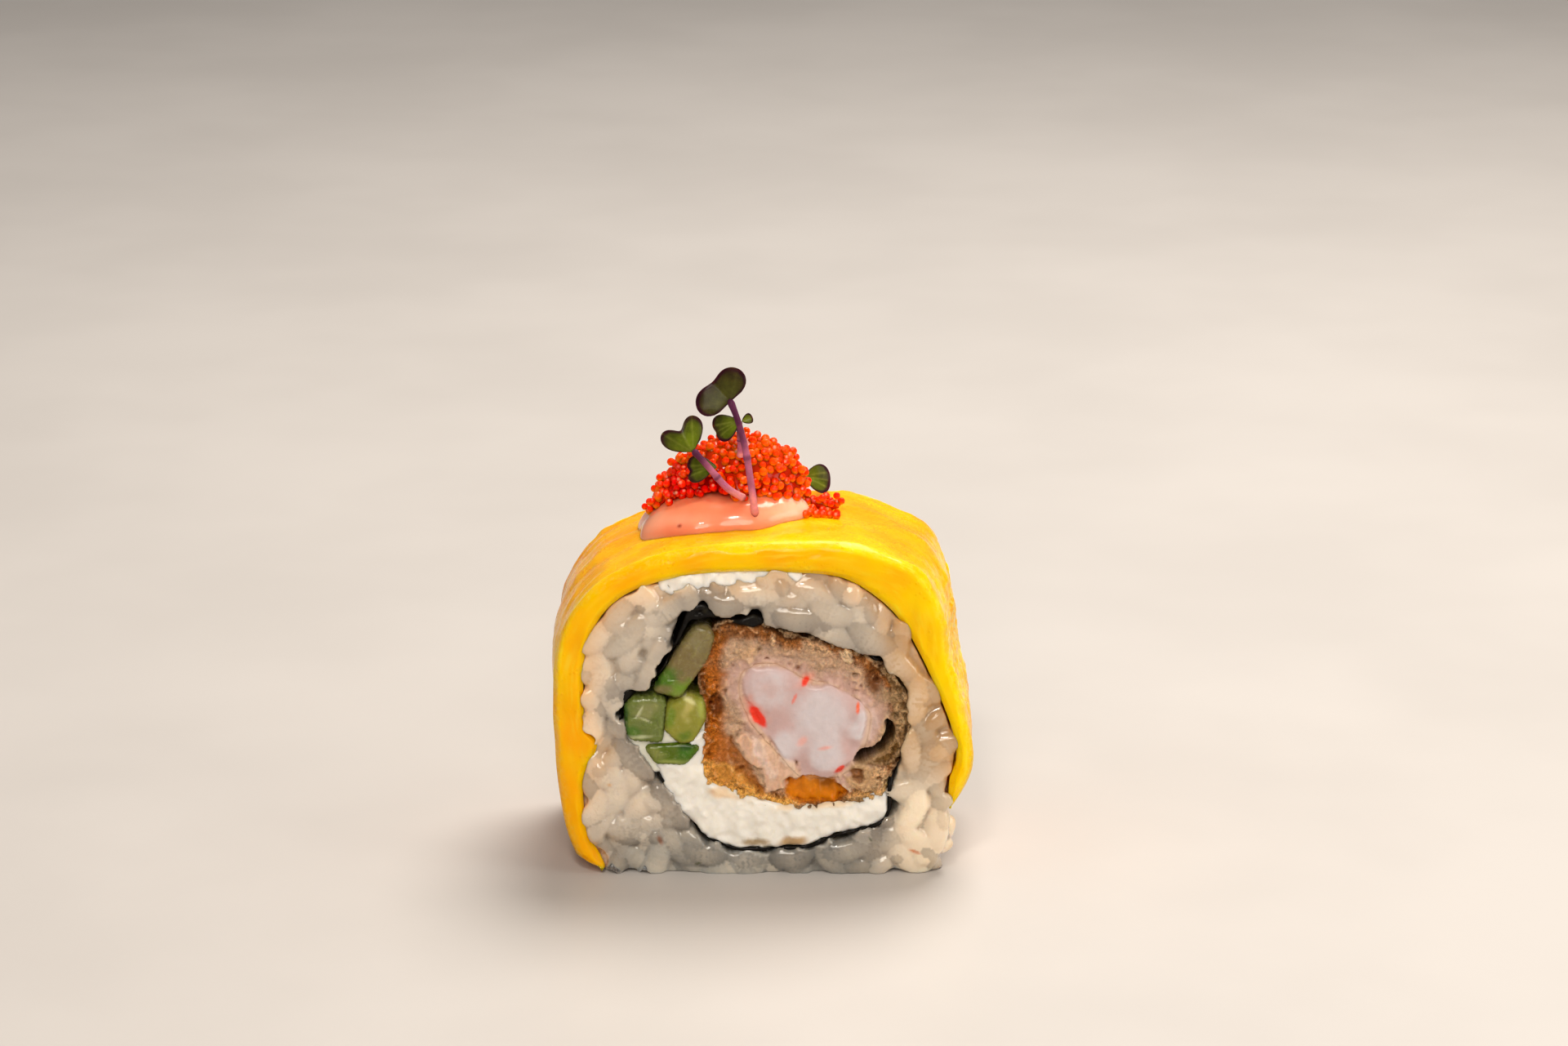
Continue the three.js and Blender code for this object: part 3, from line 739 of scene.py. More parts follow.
class Network:
    """A material's node tree, with short calls for what the finishes share."""

    NAME = ""

    def __init__(self) -> None:
        """Starts a material with one shader and a place in millimetres, and dresses it."""
        self.material = bpy.data.materials.new(self.NAME)
        self.material.use_nodes = True
        self.tree = self.material.node_tree
        self.node = partial(wired, self.tree)
        self.shader = self.tree.nodes["Principled BSDF"]
        place = self.node("ShaderNodeTexCoord")["Object"]
        self.place = self.node("ShaderNodeVectorMath", {0: place, "Scale": 1 / MM}, operation="SCALE")[0]
        self.dress()

    def dress(self) -> None:
        """Sets the shader; each finish does so in its own way."""

    def fact(self, name: str, output: str = "Fac") -> NodeSocket:
        """Reads what the mesh carries under a name."""
        return self.node("ShaderNodeAttribute", attribute_name=name)[output]

    def stretched(self, vector: NodeSocket, factors: Sequence[float], shift: float = 0.0) -> NodeSocket:
        """Multiplies a place by a factor for each axis, and shifts it."""
        inputs = {0: vector, 1: factors, 2: (shift,) * 3}
        return self.node("ShaderNodeVectorMath", inputs, operation="MULTIPLY_ADD")[0]

    def noise(
        self, size: float, detail: float = 3, roughness: float = 0.55, vector: NodeSocket | None = None
    ) -> NodeSocket:
        """Noise between 0 and 1 with peaks about a size apart, in millimetres."""
        place = vector or self.place
        inputs = {"Vector": place, "Scale": 1 / size, "Detail": detail, "Roughness": roughness}
        return self.node("ShaderNodeTexNoise", inputs)["Fac"]

    def cells(self, size: float) -> NodeSocket:
        """Distance within a pattern of cells of a size, in millimetres."""
        return self.node("ShaderNodeTexVoronoi", {"Vector": self.place, "Scale": 1 / size})["Distance"]

    def between(
        self, value: NodeSocket, low: float, high: float, start: float = 0.0, end: float = 1.0
    ) -> NodeSocket:
        """Maps a value that runs from low to high to one from start to end, with soft ends."""
        inputs = {"Value": value, "From Min": low, "From Max": high, "To Min": start, "To Max": end}
        return self.node("ShaderNodeMapRange", inputs, interpolation_type="SMOOTHSTEP")["Result"]

    def math(self, operation: str, first: NodeSocket, second: NodeSocket | float) -> NodeSocket:
        """Joins two numbers by an operation."""
        return self.node("ShaderNodeMath", {0: first, 1: second}, operation=operation)[0]

    def mix(
        self, share: NodeSocket | float, first: NodeSocket | Rgb, second: NodeSocket | Rgb, how: str = "MIX"
    ) -> NodeSocket:
        """Mixes two colours by a share."""
        given = {6: first, 7: second, 0: share}
        inputs = {key: (*value, 1) if isinstance(value, tuple) else value for key, value in given.items()}
        return self.node("ShaderNodeMix", inputs, data_type="RGBA", blend_type=how)[2]

    def shaded(self, colour: NodeSocket, amount: NodeSocket) -> NodeSocket:
        """Multiplies a colour by a number."""
        return self.node("ShaderNodeVectorMath", {0: colour, "Scale": amount}, operation="SCALE")[0]

    def drops(self, size: float, patch: float) -> NodeSocket:
        """Round drops of a size, in patches that lie some way apart."""
        drop = self.between(self.cells(size), 0.0, 0.4, 1.0, 0.0)
        return self.math("MULTIPLY", drop, self.between(self.noise(patch, 2), 0.5, 0.6))

    def fried(self, crisp: NodeSocket, low: float, high: float) -> NodeSocket:
        """A tone that clouds from low to high, and is grainy where the piece is crisp."""
        grain = self.math("MULTIPLY", self.between(self.noise(0.3, 4, 0.7), 0.36, 0.64, -0.42, 0.5), crisp)
        return self.math("ADD", self.between(self.noise(0.9, 4, 0.6), 0.3, 0.72, low, high), grain)

    def bump(self, *heights: tuple[NodeSocket, float]) -> None:
        """Raises the surface by heights of 0 to 1, each times its size in millimetres."""
        below: dict[str, NodeSocket] = {}
        for height, size in heights:
            inputs = {"Distance": size * MM, "Height": height, **below}
            below = {"Normal": self.node("ShaderNodeBump", inputs)["Normal"]}
        self.set(**below)

    def set(self, **values: NodeSocket | float | Sequence[float]) -> None:
        """Sets or links the shader's own sockets, named with underscores for spaces."""
        for name, value in values.items():
            feed(self.tree, self.shader.inputs[name.replace("_", " ")], value)

    def soft(self, weight: float, depth: float, radius: Sequence[float]) -> None:
        """Lets light spread below the surface, to a depth in millimetres."""
        self.shader.subsurface_method = "RANDOM_WALK"
        self.set(Subsurface_Weight=weight, Subsurface_Scale=depth * MM, Subsurface_Radius=radius)


class RiceFinish(Network):
    """Cooked rice: moist, half see-through grains between white and grey."""

    NAME = "rice"
    dull = srgb(196, 192, 186)
    milky = srgb(255, 252, 246)

    def dress(self) -> None:
        """Sets the shader."""
        body = self.mix(self.fact("tint"), self.dull, self.milky)
        self.set(Base_Color=self.mix(1.0, body, self.fact("paint", "Color"), "MULTIPLY"))
        self.set(Roughness=self.between(self.noise(2.3, 2), 0.35, 0.65, 0.22, 0.4))
        self.soft(1.0, 1.2, (1.0, 0.8, 0.6))
        self.set(Coat_Weight=1.0, Coat_Roughness=0.05, IOR=1.38, Specular_IOR_Level=0.3)
        wet = self.drops(0.5, 2.6)
        self.bump((self.noise(1.2, 2), 0.1), (self.noise(0.4, 3), 0.05), (wet, 0.04))


class NoriFinish(Network):
    """Pressed seaweed: near black, faintly green, with the sheen of a moist leaf."""

    NAME = "nori"
    dark = srgb(12, 8, 5)
    green = srgb(34, 30, 16)

    def dress(self) -> None:
        """Sets the shader."""
        self.set(Base_Color=self.mix(self.between(self.noise(0.8, 4), 0.5, 0.8), self.dark, self.green))
        self.set(Roughness=self.between(self.noise(1.4, 3), 0.3, 0.7, 0.3, 0.6))
        self.set(IOR=1.36, Coat_Weight=0.12, Coat_Roughness=0.12, Specular_IOR_Level=0.15)
        self.bump((self.noise(0.5, 5, 0.7), 0.12), (self.cells(0.22), 0.03))


class CrustFinish(Network):
    """Fried batter: pale bready dough that browns to a crisp, oily crust."""

    NAME = "batter"

    def dress(self) -> None:
        """Sets the shader."""
        crisp = self.fact("crisp")
        toast = self.fried(crisp, 0.88, 1.12)
        self.set(Base_Color=self.shaded(self.fact("paint", "Color"), toast))
        self.set(Roughness=self.math("ADD", self.math("MULTIPLY", crisp, 0.34), 0.2))
        self.soft(0.8, 0.6, (1.0, 0.6, 0.35))
        self.set(Subsurface_Weight=self.fact("soft"))
        self.set(Coat_Weight=0.06, Coat_Roughness=0.1, IOR=1.38, Specular_IOR_Level=0.1)
        crumb = self.math("MULTIPLY", self.noise(0.5, 5, 0.65), crisp)
        self.bump((crumb, 0.3), (self.noise(0.5, 3), 0.05))


class MeatFinish(Network):
    """Cooked shellfish: milky, moist and springy, with fine fibres."""

    NAME = "meat"

    def dress(self) -> None:
        """Sets the shader."""
        veil = self.fried(self.fact("crisp"), 0.97, 1.03)
        self.set(Base_Color=self.shaded(self.fact("paint", "Color"), veil))
        self.set(Roughness=self.between(self.noise(1.1, 3), 0.35, 0.65, 0.2, 0.4))
        self.soft(1.0, 1.0, (1.0, 0.72, 0.62))
        self.set(Subsurface_Weight=self.fact("soft"))
        self.set(Coat_Weight=0.2, Coat_Roughness=0.1, IOR=1.38, Specular_IOR_Level=0.2)
        self.bump((self.noise(0.9, 4), 0.06), (self.noise(0.22, 3), 0.012))


class CreamFinish(Network):
    """Fresh cream cheese: white, crumbly where it was cut, hardly shiny."""

    NAME = "cream"
    white = srgb(238, 234, 228)

    def dress(self) -> None:
        """Sets the shader."""
        self.set(Base_Color=self.mix(1.0, self.white, self.fact("paint", "Color"), "MULTIPLY"))
        self.set(Roughness=self.between(self.noise(0.9, 3), 0.35, 0.65, 0.42, 0.62))
        self.soft(1.0, 0.8, (1.0, 0.9, 0.75))
        self.set(IOR=1.38, Coat_Weight=0.08, Coat_Roughness=0.2, Specular_IOR_Level=0.3)
        self.bump((self.noise(0.9, 4, 0.6), 0.08), (self.noise(0.2, 3), 0.015))


class CucumberFinish(Network):
    """Cucumber: watery flesh with pale strands under a dark green skin."""

    NAME = "cucumber"
    strand = srgb(196, 196, 140)

    def dress(self) -> None:
        """Sets the shader."""
        strands = self.between(self.noise(0.5, 4, 0.6), 0.5, 0.75, 0.0, 0.16)
        self.set(Base_Color=self.mix(strands, self.fact("paint", "Color"), self.strand))
        self.set(Roughness=self.between(self.noise(1.2, 2), 0.35, 0.65, 0.16, 0.34))
        self.soft(1.0, 0.9, (0.8, 1.0, 0.3))
        self.set(IOR=1.34, Coat_Weight=0.3, Coat_Roughness=0.08, Specular_IOR_Level=0.25)
        self.bump((self.noise(0.7, 4), 0.1), (self.noise(0.2, 2), 0.015))


class MangoFinish(Network):
    """Ripe mango: glowing yellow flesh with faint fibres along the slice and a moist skin of juice."""

    NAME = "mango"
    deep = srgb(255, 190, 0)
    gold = srgb(255, 211, 0)
    pale = srgb(255, 236, 60)
    crumb = srgb(255, 240, 110)

    def dress(self) -> None:
        """Sets the shader."""
        flow = self.fact("flow", "Vector")
        streak = self.noise(1.0, 3, 0.5, self.stretched(flow, (0.2, 0.36, 0.4)))
        thread = self.noise(1.0, 2, 0.5, self.stretched(flow, (0.3, 2.4, 1.6), 3.7))
        body = self.mix(self.between(self.noise(6.0, 1), 0.3, 0.7), self.deep, self.gold)
        pale = self.between(streak, 0.45, 0.7, 0.1, 0.5)
        body = self.mix(self.math("MULTIPLY", pale, self.between(thread, 0.45, 0.7)), body, self.pale)
        # Pale crumbs where the glow fact is high: crumbly flesh, and a painted highlight along the cut's edge
        # and on the shoulder.
        crumbs = self.math("MULTIPLY", self.between(self.noise(0.55, 4, 0.65), 0.46, 0.6), self.fact("glow"))
        body = self.mix(self.math("MULTIPLY", crumbs, 0.7), body, self.crumb)
        self.set(Base_Color=self.mix(1.0, body, self.fact("paint", "Color"), "MULTIPLY"))
        self.set(Roughness=self.between(self.noise(1.6, 3), 0.35, 0.7, 0.24, 0.4))
        self.soft(1.0, 1.2, (1.0, 0.66, 0.06))
        self.set(IOR=1.36, Specular_IOR_Level=0.06, Coat_Weight=0.4, Coat_Roughness=0.12, Coat_IOR=1.27)
        beads = self.drops(0.6, 3.1)
        grain = self.noise(0.4, 3, 0.6)
        grain = self.math("MULTIPLY", grain, self.between(self.fact("glow"), 0.1, 1.0, 0.1, 1.0))
        self.bump((streak, 0.12), (thread, 0.045), (beads, 0.09), (self.noise(3.0, 3), 0.16), (grain, 0.07))


class SauceFinish(Network):
    """Creamy pink-orange sauce with a wet gloss."""

    NAME = "sauce"

    def dress(self) -> None:
        """Sets the shader."""
        cloud = self.between(self.noise(3.2, 2), 0.35, 0.7, 0.96, 1.04)
        self.set(Base_Color=self.shaded(self.fact("paint", "Color"), cloud), Roughness=0.22)
        self.soft(1.0, 1.4, (1.0, 0.5, 0.35))
        self.set(IOR=1.4, Coat_Weight=0.8, Coat_Roughness=0.06, Coat_IOR=1.36, Specular_IOR_Level=0.2)
        self.bump((self.noise(2.2, 2), 0.05))


class RoeFinish(Network):
    """Flying-fish eggs: firm glassy beads, orange outside the heap and deep red in it, with the heap's core
    painted darker as shade.
    """

    NAME = "roe"

    def dress(self) -> None:
        """Sets the shader."""
        self.set(Base_Color=self.fact("paint", "Color"), Roughness=0.3)
        self.soft(1.0, 0.8, (1.0, 0.2, 0.03))
        self.set(IOR=1.33, Specular_IOR_Level=0.0, Coat_Weight=0.6, Coat_Roughness=0.03, Coat_IOR=1.33)


class SproutFinish(Network):
    """Cress sprouts: green leaves with purple rims on mauve stems."""

    NAME = "sprout"

    def dress(self) -> None:
        """Sets the shader."""
        fleck = self.between(self.noise(0.9, 4), 0.3, 0.75, 0.8, 1.15)
        self.set(Base_Color=self.shaded(self.fact("paint", "Color"), fleck))
        self.set(Roughness=self.between(self.noise(0.8, 3), 0.35, 0.65, 0.3, 0.5))
        self.soft(0.4, 0.4, (0.8, 1.0, 0.2))
        self.set(IOR=1.36, Coat_Weight=0.4, Coat_Roughness=0.24, Coat_IOR=1.26, Specular_IOR_Level=0.03)
        self.bump((self.noise(0.35, 4), 0.03), (self.cells(0.18), 0.01))


class TableFinish(Network):
    """A bare, pale, matt tabletop with the faintest clouding."""

    NAME = "table"
    grey = srgb(189, 183, 178)
    pale = srgb(195, 189, 184)

    def dress(self) -> None:
        """Sets the shader."""
        self.set(Base_Color=self.mix(self.between(self.noise(60, 3), 0.3, 0.7), self.grey, self.pale))
        self.set(Roughness=0.5, IOR=1.4)
        self.bump((self.noise(2.5, 3), 0.02))


def shown(shape: Shape, name: str, material: Material, slot: str, *nodes: str) -> Object:
    """Shows a finished shape as a piece in the place of CAD nodes.

    Args:
        shape: the finished shape, in the row frame
        name: name of the piece
        material: what it is made of
        slot: not used
        nodes: CAD nodes that it stands in for

    Returns:
        the piece
    """
    mesh = shape.mesh(name)
    mesh.materials.append(material)
    piece = linked(mesh, name)
    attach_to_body(piece, BODY)
    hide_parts(*nodes)
    log.info("%s: %d points, %d faces", name, len(shape.places), len(shape.faces))
    return piece


# The pieces


SEAWEED_SHOWS = (
    (-7.4, 31.2, 2.9), (-9.4, 28.4, 2.2), (-11.4, 24.6, 1.4), (-1.8, 30.2, 2.4), (5.9, 28.9, 0.7),
    (12.4, 25.6, 0.8), (14.2, 8.6, 3.0), (13.4, 5.4, 2.0), (9.5, 4.4, 2.6), (4.5, 2.6, 3.4),
    (-2.0, 2.4, 3.4), (-6.2, 4.2, 1.8), (-9.3, 8.0, 0.7), (-11.4, 11.2, 0.9), (-15.6, 21.2, 1.6),
    (-16.6, 18.2, 1.0),
)


def seaweed_shows(plane: Array) -> Array:
    """1 where the seaweed's cut edge can be seen between rice and filling, and 0 where it is covered."""
    x, z, radius = np.array(SEAWEED_SHOWS).T
    away = np.hypot(plane[:, :1] - x, plane[:, 1:] - z) / radius
    return (1 - ease(0.6, 1.3, away)).max(axis=1)


@dataclass(frozen=True)
class Grain:
    """A listed grain, laid at the front: its middle, turn, length, whiteness, width and how proud it lies."""

    x: float
    z: float
    turn: float
    length: float
    tint: float
    wide: float = 1.0
    proud: float = 0.0


@dataclass
class RiceBlock:
    """Pressed rice: whole grains and grains seen on end, stuck together into one skin."""

    length: float = 6.2
    width: float = 2.5
    sheets: tuple[float, float] = (10.75, 9.9)
    reach: float = 0.5
    face_at: float = 12.1
    press: float = 0.9
    flank_half: float = 10.5
    deepest: float = 2.1
    laid_at: float = -11.0
    laid: tuple[Grain, ...] = (
        Grain(-12.1, 24.3, 66, 7.2, 0.75, 0.95, 1.6), Grain(-14.9, 27.6, 48, 6.4, 0.4, 1.0, 0.6),
        Grain(-10.6, 30.6, 35, 5.6, 0.7, 1.0, 0.3), Grain(-4.3, 31.2, -8, 4.2, 0.1, 1.1, 0.3),
        Grain(3.7, 29.6, -6, 5.8, 0.1, 1.15, 0.4), Grain(7.4, 30.4, -24, 5.4, 0.5, 1.1, 0.2),
        Grain(11.7, 27.3, -32, 6.2, 0.3, 1.2, 0.3), Grain(-0.6, 32.4, 6, 5.8, 0.8),
        Grain(-17.9, 23.2, 84, 5.6, 0.8), Grain(-18.9, 16.9, 70, 4.6, 1.0, 1.0, 0.4),
        Grain(-14.4, 13.4, -52, 6.6, 0.1, 1.0, 0.3), Grain(-10.6, 7.6, -52, 6.4, 0.2, 1.0, 0.3),
        Grain(-17.6, 11.4, -40, 5.6, 0.8), Grain(-18.6, 7.6, 60, 4.8, 0.9, 1.0, 0.4),
        Grain(-15.2, 5.2, 10, 5.2, 0.6, 1.0, 0.2), Grain(16.9, 20.4, 80, 6.2, 0.9, 1.0, 0.3),
        Grain(18.4, 13.2, 76, 6.6, 0.5), Grain(16.6, 7.2, 62, 6.0, 1.0, 1.0, 0.4),
        Grain(19.4, 5.0, 84, 5.2, 0.8), Grain(14.9, 24.6, -50, 5.2, 0.7, 1.0, 0.2),
        Grain(3.2, 1.6, 4, 5.0, 0.1), Grain(-6.6, 2.2, -12, 5.6, 0.3, 1.0, 0.2),
        Grain(9.4, 2.6, 16, 5.8, 0.4, 1.0, 0.2), Grain(-2.0, 1.4, 2, 4.6, 0.5),
    )
    stains: tuple[Spot, ...] = (
        Spot(16.8, 2.7, 0.9, 0.25, -20, (214, 120, 40), 0.8, 0.8),
        Spot(-11.5, 4.1, 0.35, 0.8, 20, (150, 82, 36), 0.8, 0.8),
        Spot(-17.0, 10.6, 0.4, 0.3, 0, (224, 160, 70), 0.6, 0.8),
        Spot(-7.3, 1.2, 0.5, 0.25, 30, (84, 92, 30), 0.8, 0.8),
        Spot(11.8, 4.2, 0.6, 0.14, -50, (70, 80, 30), 0.8, 0.8),
    )

    def outline(self) -> tuple[Array, Array]:
        """The block's outer line, and the line round its filling, which laps over the seaweed in places."""
        outer, hole = smooth_section("rice")[:2]
        over = 0.6 * ease(30.5, 32, outer[:, 1]) * ease(-10, -9, outer[:, 0]) * (1 - ease(6, 7, outer[:, 0]))
        lap = 0.12 + 0.5 * (1 - seaweed_shows(hole))
        return relax(grown(outer, (0.2 + over)[:, None]), 2), relax(grown(hole, -lap[:, None]), 3)

    def grain(self) -> Shape:
        """One grain: a long, slightly bent bean with blunt ends; its fact belly is 1 at its milky middle,
        which the rice paints paler, partly as a painted highlight on the crown.
        """
        around, along = 18, 14
        part = -np.cos(np.pi * np.arange(1, along) / along)[:, None]
        angle = 2 * np.pi * np.arange(around) / around
        wide = (1 - np.abs(part) ** 2.6) ** 0.5 / 2
        rings = np.stack(np.broadcast_arrays(part / 2, wide * np.cos(angle), wide * np.sin(angle)), axis=-1)
        made = spun((-0.5, 0, 0), rings, (0.5, 0, 0))
        made.places *= (self.length, self.width, self.width * 0.86)
        made.places[:, 1] += 0.5 * (made.places[:, 0] / self.length * 2) ** 2
        made.facts["belly"] = np.pad(((1 - np.abs(part)) * np.abs(np.sin(angle))).ravel(), 1)
        return made

    def sheet(self, outer: Array, hole: Array, depth: float) -> Shape:
        """Faces at both cut faces that take grains.

        Args:
            outer: the block's outer line
            hole: the line round its filling
            depth: how far the faces lie from the middle of the block

        Returns:
            loose faces whose normals point out of the block
        """
        slab = Slab([outer, hole], 1.0, 0.8, 1, 3)
        points, triangles, _ = slab.fill()
        triangles = triangles[edge_distance(points[triangles].mean(axis=1), *slab.loops) > self.reach]
        sides = [at_depth(points, depth * face.value) for face in Face]
        return Shape(np.vstack(sides), np.vstack([triangles, triangles[:, ::-1] + len(points)]).tolist())

    def flanks(self, outer: Array) -> Shape:
        """Faces along the bare lower sides that take grains."""
        bare = outer[(outer[:, 1] < 8.5) & (outer[:, 1] > 0.9) & (np.abs(outer[:, 0]) > 14)]
        half = self.flank_half
        places, faces = [], []
        for side in (-1, 1):
            line = bare[bare[:, 0] * side > 0]
            line = line[np.argsort(line[:, 1])] - (side * 0.7, 0)
            for low, high in zip(line[:-1], line[1:]):
                faces.append(list(range(len(places), len(places) + 4))[::-side])
                near, far = np.array([low, high]), np.array([high, low])
                places += [*at_depth(near, -half), *at_depth(far, half)]
        return Shape(np.array(places), faces)

    def by_hand(self, unit: Shape) -> Shape:
        """The grains laid at the front face."""
        parts = []
        for grain in self.laid:
            angle = math.radians(grain.turn)
            along = unit.places[:, 0] * grain.length / self.length
            across = unit.places[:, 1] * grain.wide
            x = grain.x + along * math.cos(angle) - across * math.sin(angle)
            z = grain.z + along * math.sin(angle) + across * math.cos(angle)
            places = np.column_stack([x, self.laid_at - grain.proud + unit.places[:, 2] * grain.wide, z])
            parts.append(Shape(places, unit.faces, {"tint": np.full(len(places), grain.tint), **unit.facts}))
        return joined(parts)

    def grains(self, outer: Array, hole: Array, material: Material) -> Shape:
        """All the grains, pressed back to the cut faces."""
        unit = self.grain()
        top, below = (self.sheet(outer, hole, depth) for depth in self.sheets)
        made = joined([
            Scatter("rice_grains", 11, 2.6, 0.6, 0.84, 1.1, 16).spread(top, unit, material),
            Scatter("rice_below", 12, 1.8, 1.2, 0.8, 1.05, 62).spread(below, unit, material),
            Scatter("rice_flanks", 13, 2.1, 0.9, 0.86, 1.1, 24).spread(self.flanks(outer), unit, material),
            self.by_hand(unit),
        ])
        y = made.places[:, 1]
        flat = self.face_at - self.press
        past = np.maximum(np.abs(y) - flat, 0)
        pressed = flat + self.press * (1 - np.exp(-past / 1.1))
        made.places[:, 1] = np.where(past > 0, np.sign(y) * pressed, y)
        return made

    def build(self) -> Object:
        """Makes the rice piece, by casting the grains' surfaces into one skin."""
        outer, hole = self.outline()
        material = RiceFinish().material
        grains = self.grains(outer, hole, material)
        tree = BVHTree.FromPolygons(grains.places.tolist(), grains.faces)

        def cast(start: Array, aim: Array, reach: float) -> Array:
            """How far rays run before they meet a grain."""
            hits = [tree.ray_cast(Vector(a), Vector(b), reach)[3] for a, b in zip(start, aim)]
            return np.array([reach if hit is None else hit for hit in hits])

        def rim_of(loop: Array, sign: int) -> Array:
            """A line that follows the grains at the cut."""
            fine = resample(loop, 0.2)
            side = at_depth(outward(fine) * sign, 0)
            start = at_depth(fine, -11.0) + side * 1.2
            stands = np.clip(1.2 - cast(start, -side, 2.0), -0.15, 0.75)
            return relax(fine + side[:, [0, 2]] * relax(stands[:, None], 2), 2)

        def relief(points: Array, rim: Array, face: Face) -> Array:
            """Depth of the foremost grain."""
            start = at_depth(points, face.value * 14.0)
            run = cast(start, np.tile((0.0, -face.value, 0.0), (len(points), 1)), 2 + self.deepest)
            return 1.5 * (1 - np.exp(-np.maximum(run - 2, -0.3) / 1.5))

        edges = [rim_of(outer, 1), rim_of(hole, -1)]
        skin = Slab(edges, 12.0, 0.22, (84, 6), 5).build(relief)
        bare = (skin.facts["rim"] < 0.1) & (np.abs(skin.places[:, 0]) > 13) & (skin.places[:, 2] < 10)
        fine = resample(edges[0], 0.15)
        side = at_depth(outward(fine)[nearest(skin.places[bare][:, [0, 2]], fine)[1]], 0)
        skin.places[bare] += side * (1 - cast(skin.places[bare] + side, -side, 2.3))[:, None]
        skin.places[:, 2] = np.maximum(skin.places[:, 2], 0)
        skin = smoothed(skin, 2)
        found = [grains.faces[tree.find_nearest(Vector(place))[2]][0] for place in skin.places]
        near = nearest(skin.places, grains.places)[1]
        tint, belly = grains.facts["tint"], grains.facts["belly"]
        # milk carries each grain's milky middle, painted paler later: the rice's own whiteness and a painted
        # highlight.
        milk = np.where(tint[near] == tint[found], belly[near], 0.2)
        paint = self.paint(skin.places, outer, hole, milk, hollows(skin, 20))
        return shown(skin.leaned(tint=tint[found], paint=paint), "rice_block", material, "rice", "rice")

    def paint(self, places: Array, outer: Array, hole: Array, belly: Array, crease: Array) -> Array:
        """Peach near the mango as painted light from it, grey over the seaweed as its painted shade through
        the rice, grey low down, and warm brown between the grains as painted shade.

        Args:
            places: points of the skin
            outer: the block's outer line
            hole: the line round its filling
            belly: 1 at a grain's milky middle, painted paler there, partly as a painted highlight on the
                crown
            crease: how deep each point lies between grains

        Returns:
            the colour of each point
        """
        plane = places[:, [0, 2]]
        rim, ring = edge_distance(plane, outer), edge_distance(plane, hole)
        x, z = plane.T
        cloud = Grit(61).layered(places, 3.4, 2)
        # Painted light from the mango: a peach wash near it and at the upper right.
        mango_light = (1 - ease(0.0, 3.4, rim)) * ease(4, 12, z) + 0.7 * ease(10, 16, x) * ease(10, 20, z)
        # Painted shade: grey where the dark seaweed would show through the rice.
        over_nori = (1 - ease(0.2, 3.0, ring + 0.9 * cloud)) * (1 - ease(10, 15, x) * ease(6, 12, z))
        foot = (1 - ease(1.5, 9, z)) * (1 - ease(9, 15, x)) * ease(-21, -14, x)
        washes = (
            (srgb(238, 196, 148), 0.6 * mango_light + 0.2 * cloud),
            (srgb(164, 156, 148), 0.85 * over_nori),
            (srgb(144, 146, 144), 0.85 * foot),
            (srgb(198, 160, 112), 0.75 * ease(12, 15, x) * ease(9, 14, z)),
            (srgb(248, 232, 208), 0.8 * ease(13, 16, x) * (1 - ease(8, 13, z))),
            # Paler grain middles: milky rice and a painted highlight on the crowns.
            (srgb(250, 238, 220), 0.36 * belly),
        )
        paint = srgb(214, 203, 190)
        for colour, share in washes:
            paint = blend(paint, colour, np.minimum(share, 0.92))
        front = places[:, 1] < -9
        paint[front] = patched(paint[front], plane[front], self.stains, 0.4 * cloud[front])
        # Painted shade: darker and warmer between the grains, by how deep each point lies.
        return paint * (1 - ease(0.03, 0.36, crease)[:, None] * (0.16, 0.24, 0.32))


@dataclass
class NoriSheet:
    """The seaweed ring between rice and filling, with its folds."""

    half: float = 11.9
    thinned: float = 0.2

    def build(self) -> Object:
        """Makes the seaweed piece."""
        grit = Grit(23)
        outer, hole = smooth_section("nori", 0.25, 1)[:2]
        slab = Slab([grown(outer, -self.thinned), hole], self.half, 0.26, 30, 9)

        def relief(points: Array, rim: Array, face: Face) -> Array:
            """Makes the cut edge uneven, and sinks the folds between their lips."""
            uneven = 0.3 * grit.layered(lifted(points, face.value * 5.0), 2.0)
            base = 0.5 + uneven + rounding(rim, 0.06) + 1.4 * ease(0.5, 1.2, rim)
            return np.maximum(base, 0.1) + 1.5 * (1 - seaweed_shows(points))

        shape = slab.build(relief, lambda places: 0.12 * grit.layered(places, (1.6, 5.0, 1.6)))
        return shown(shape.leaned(), "nori_sheet", NoriFinish().material, "nori", "nori")


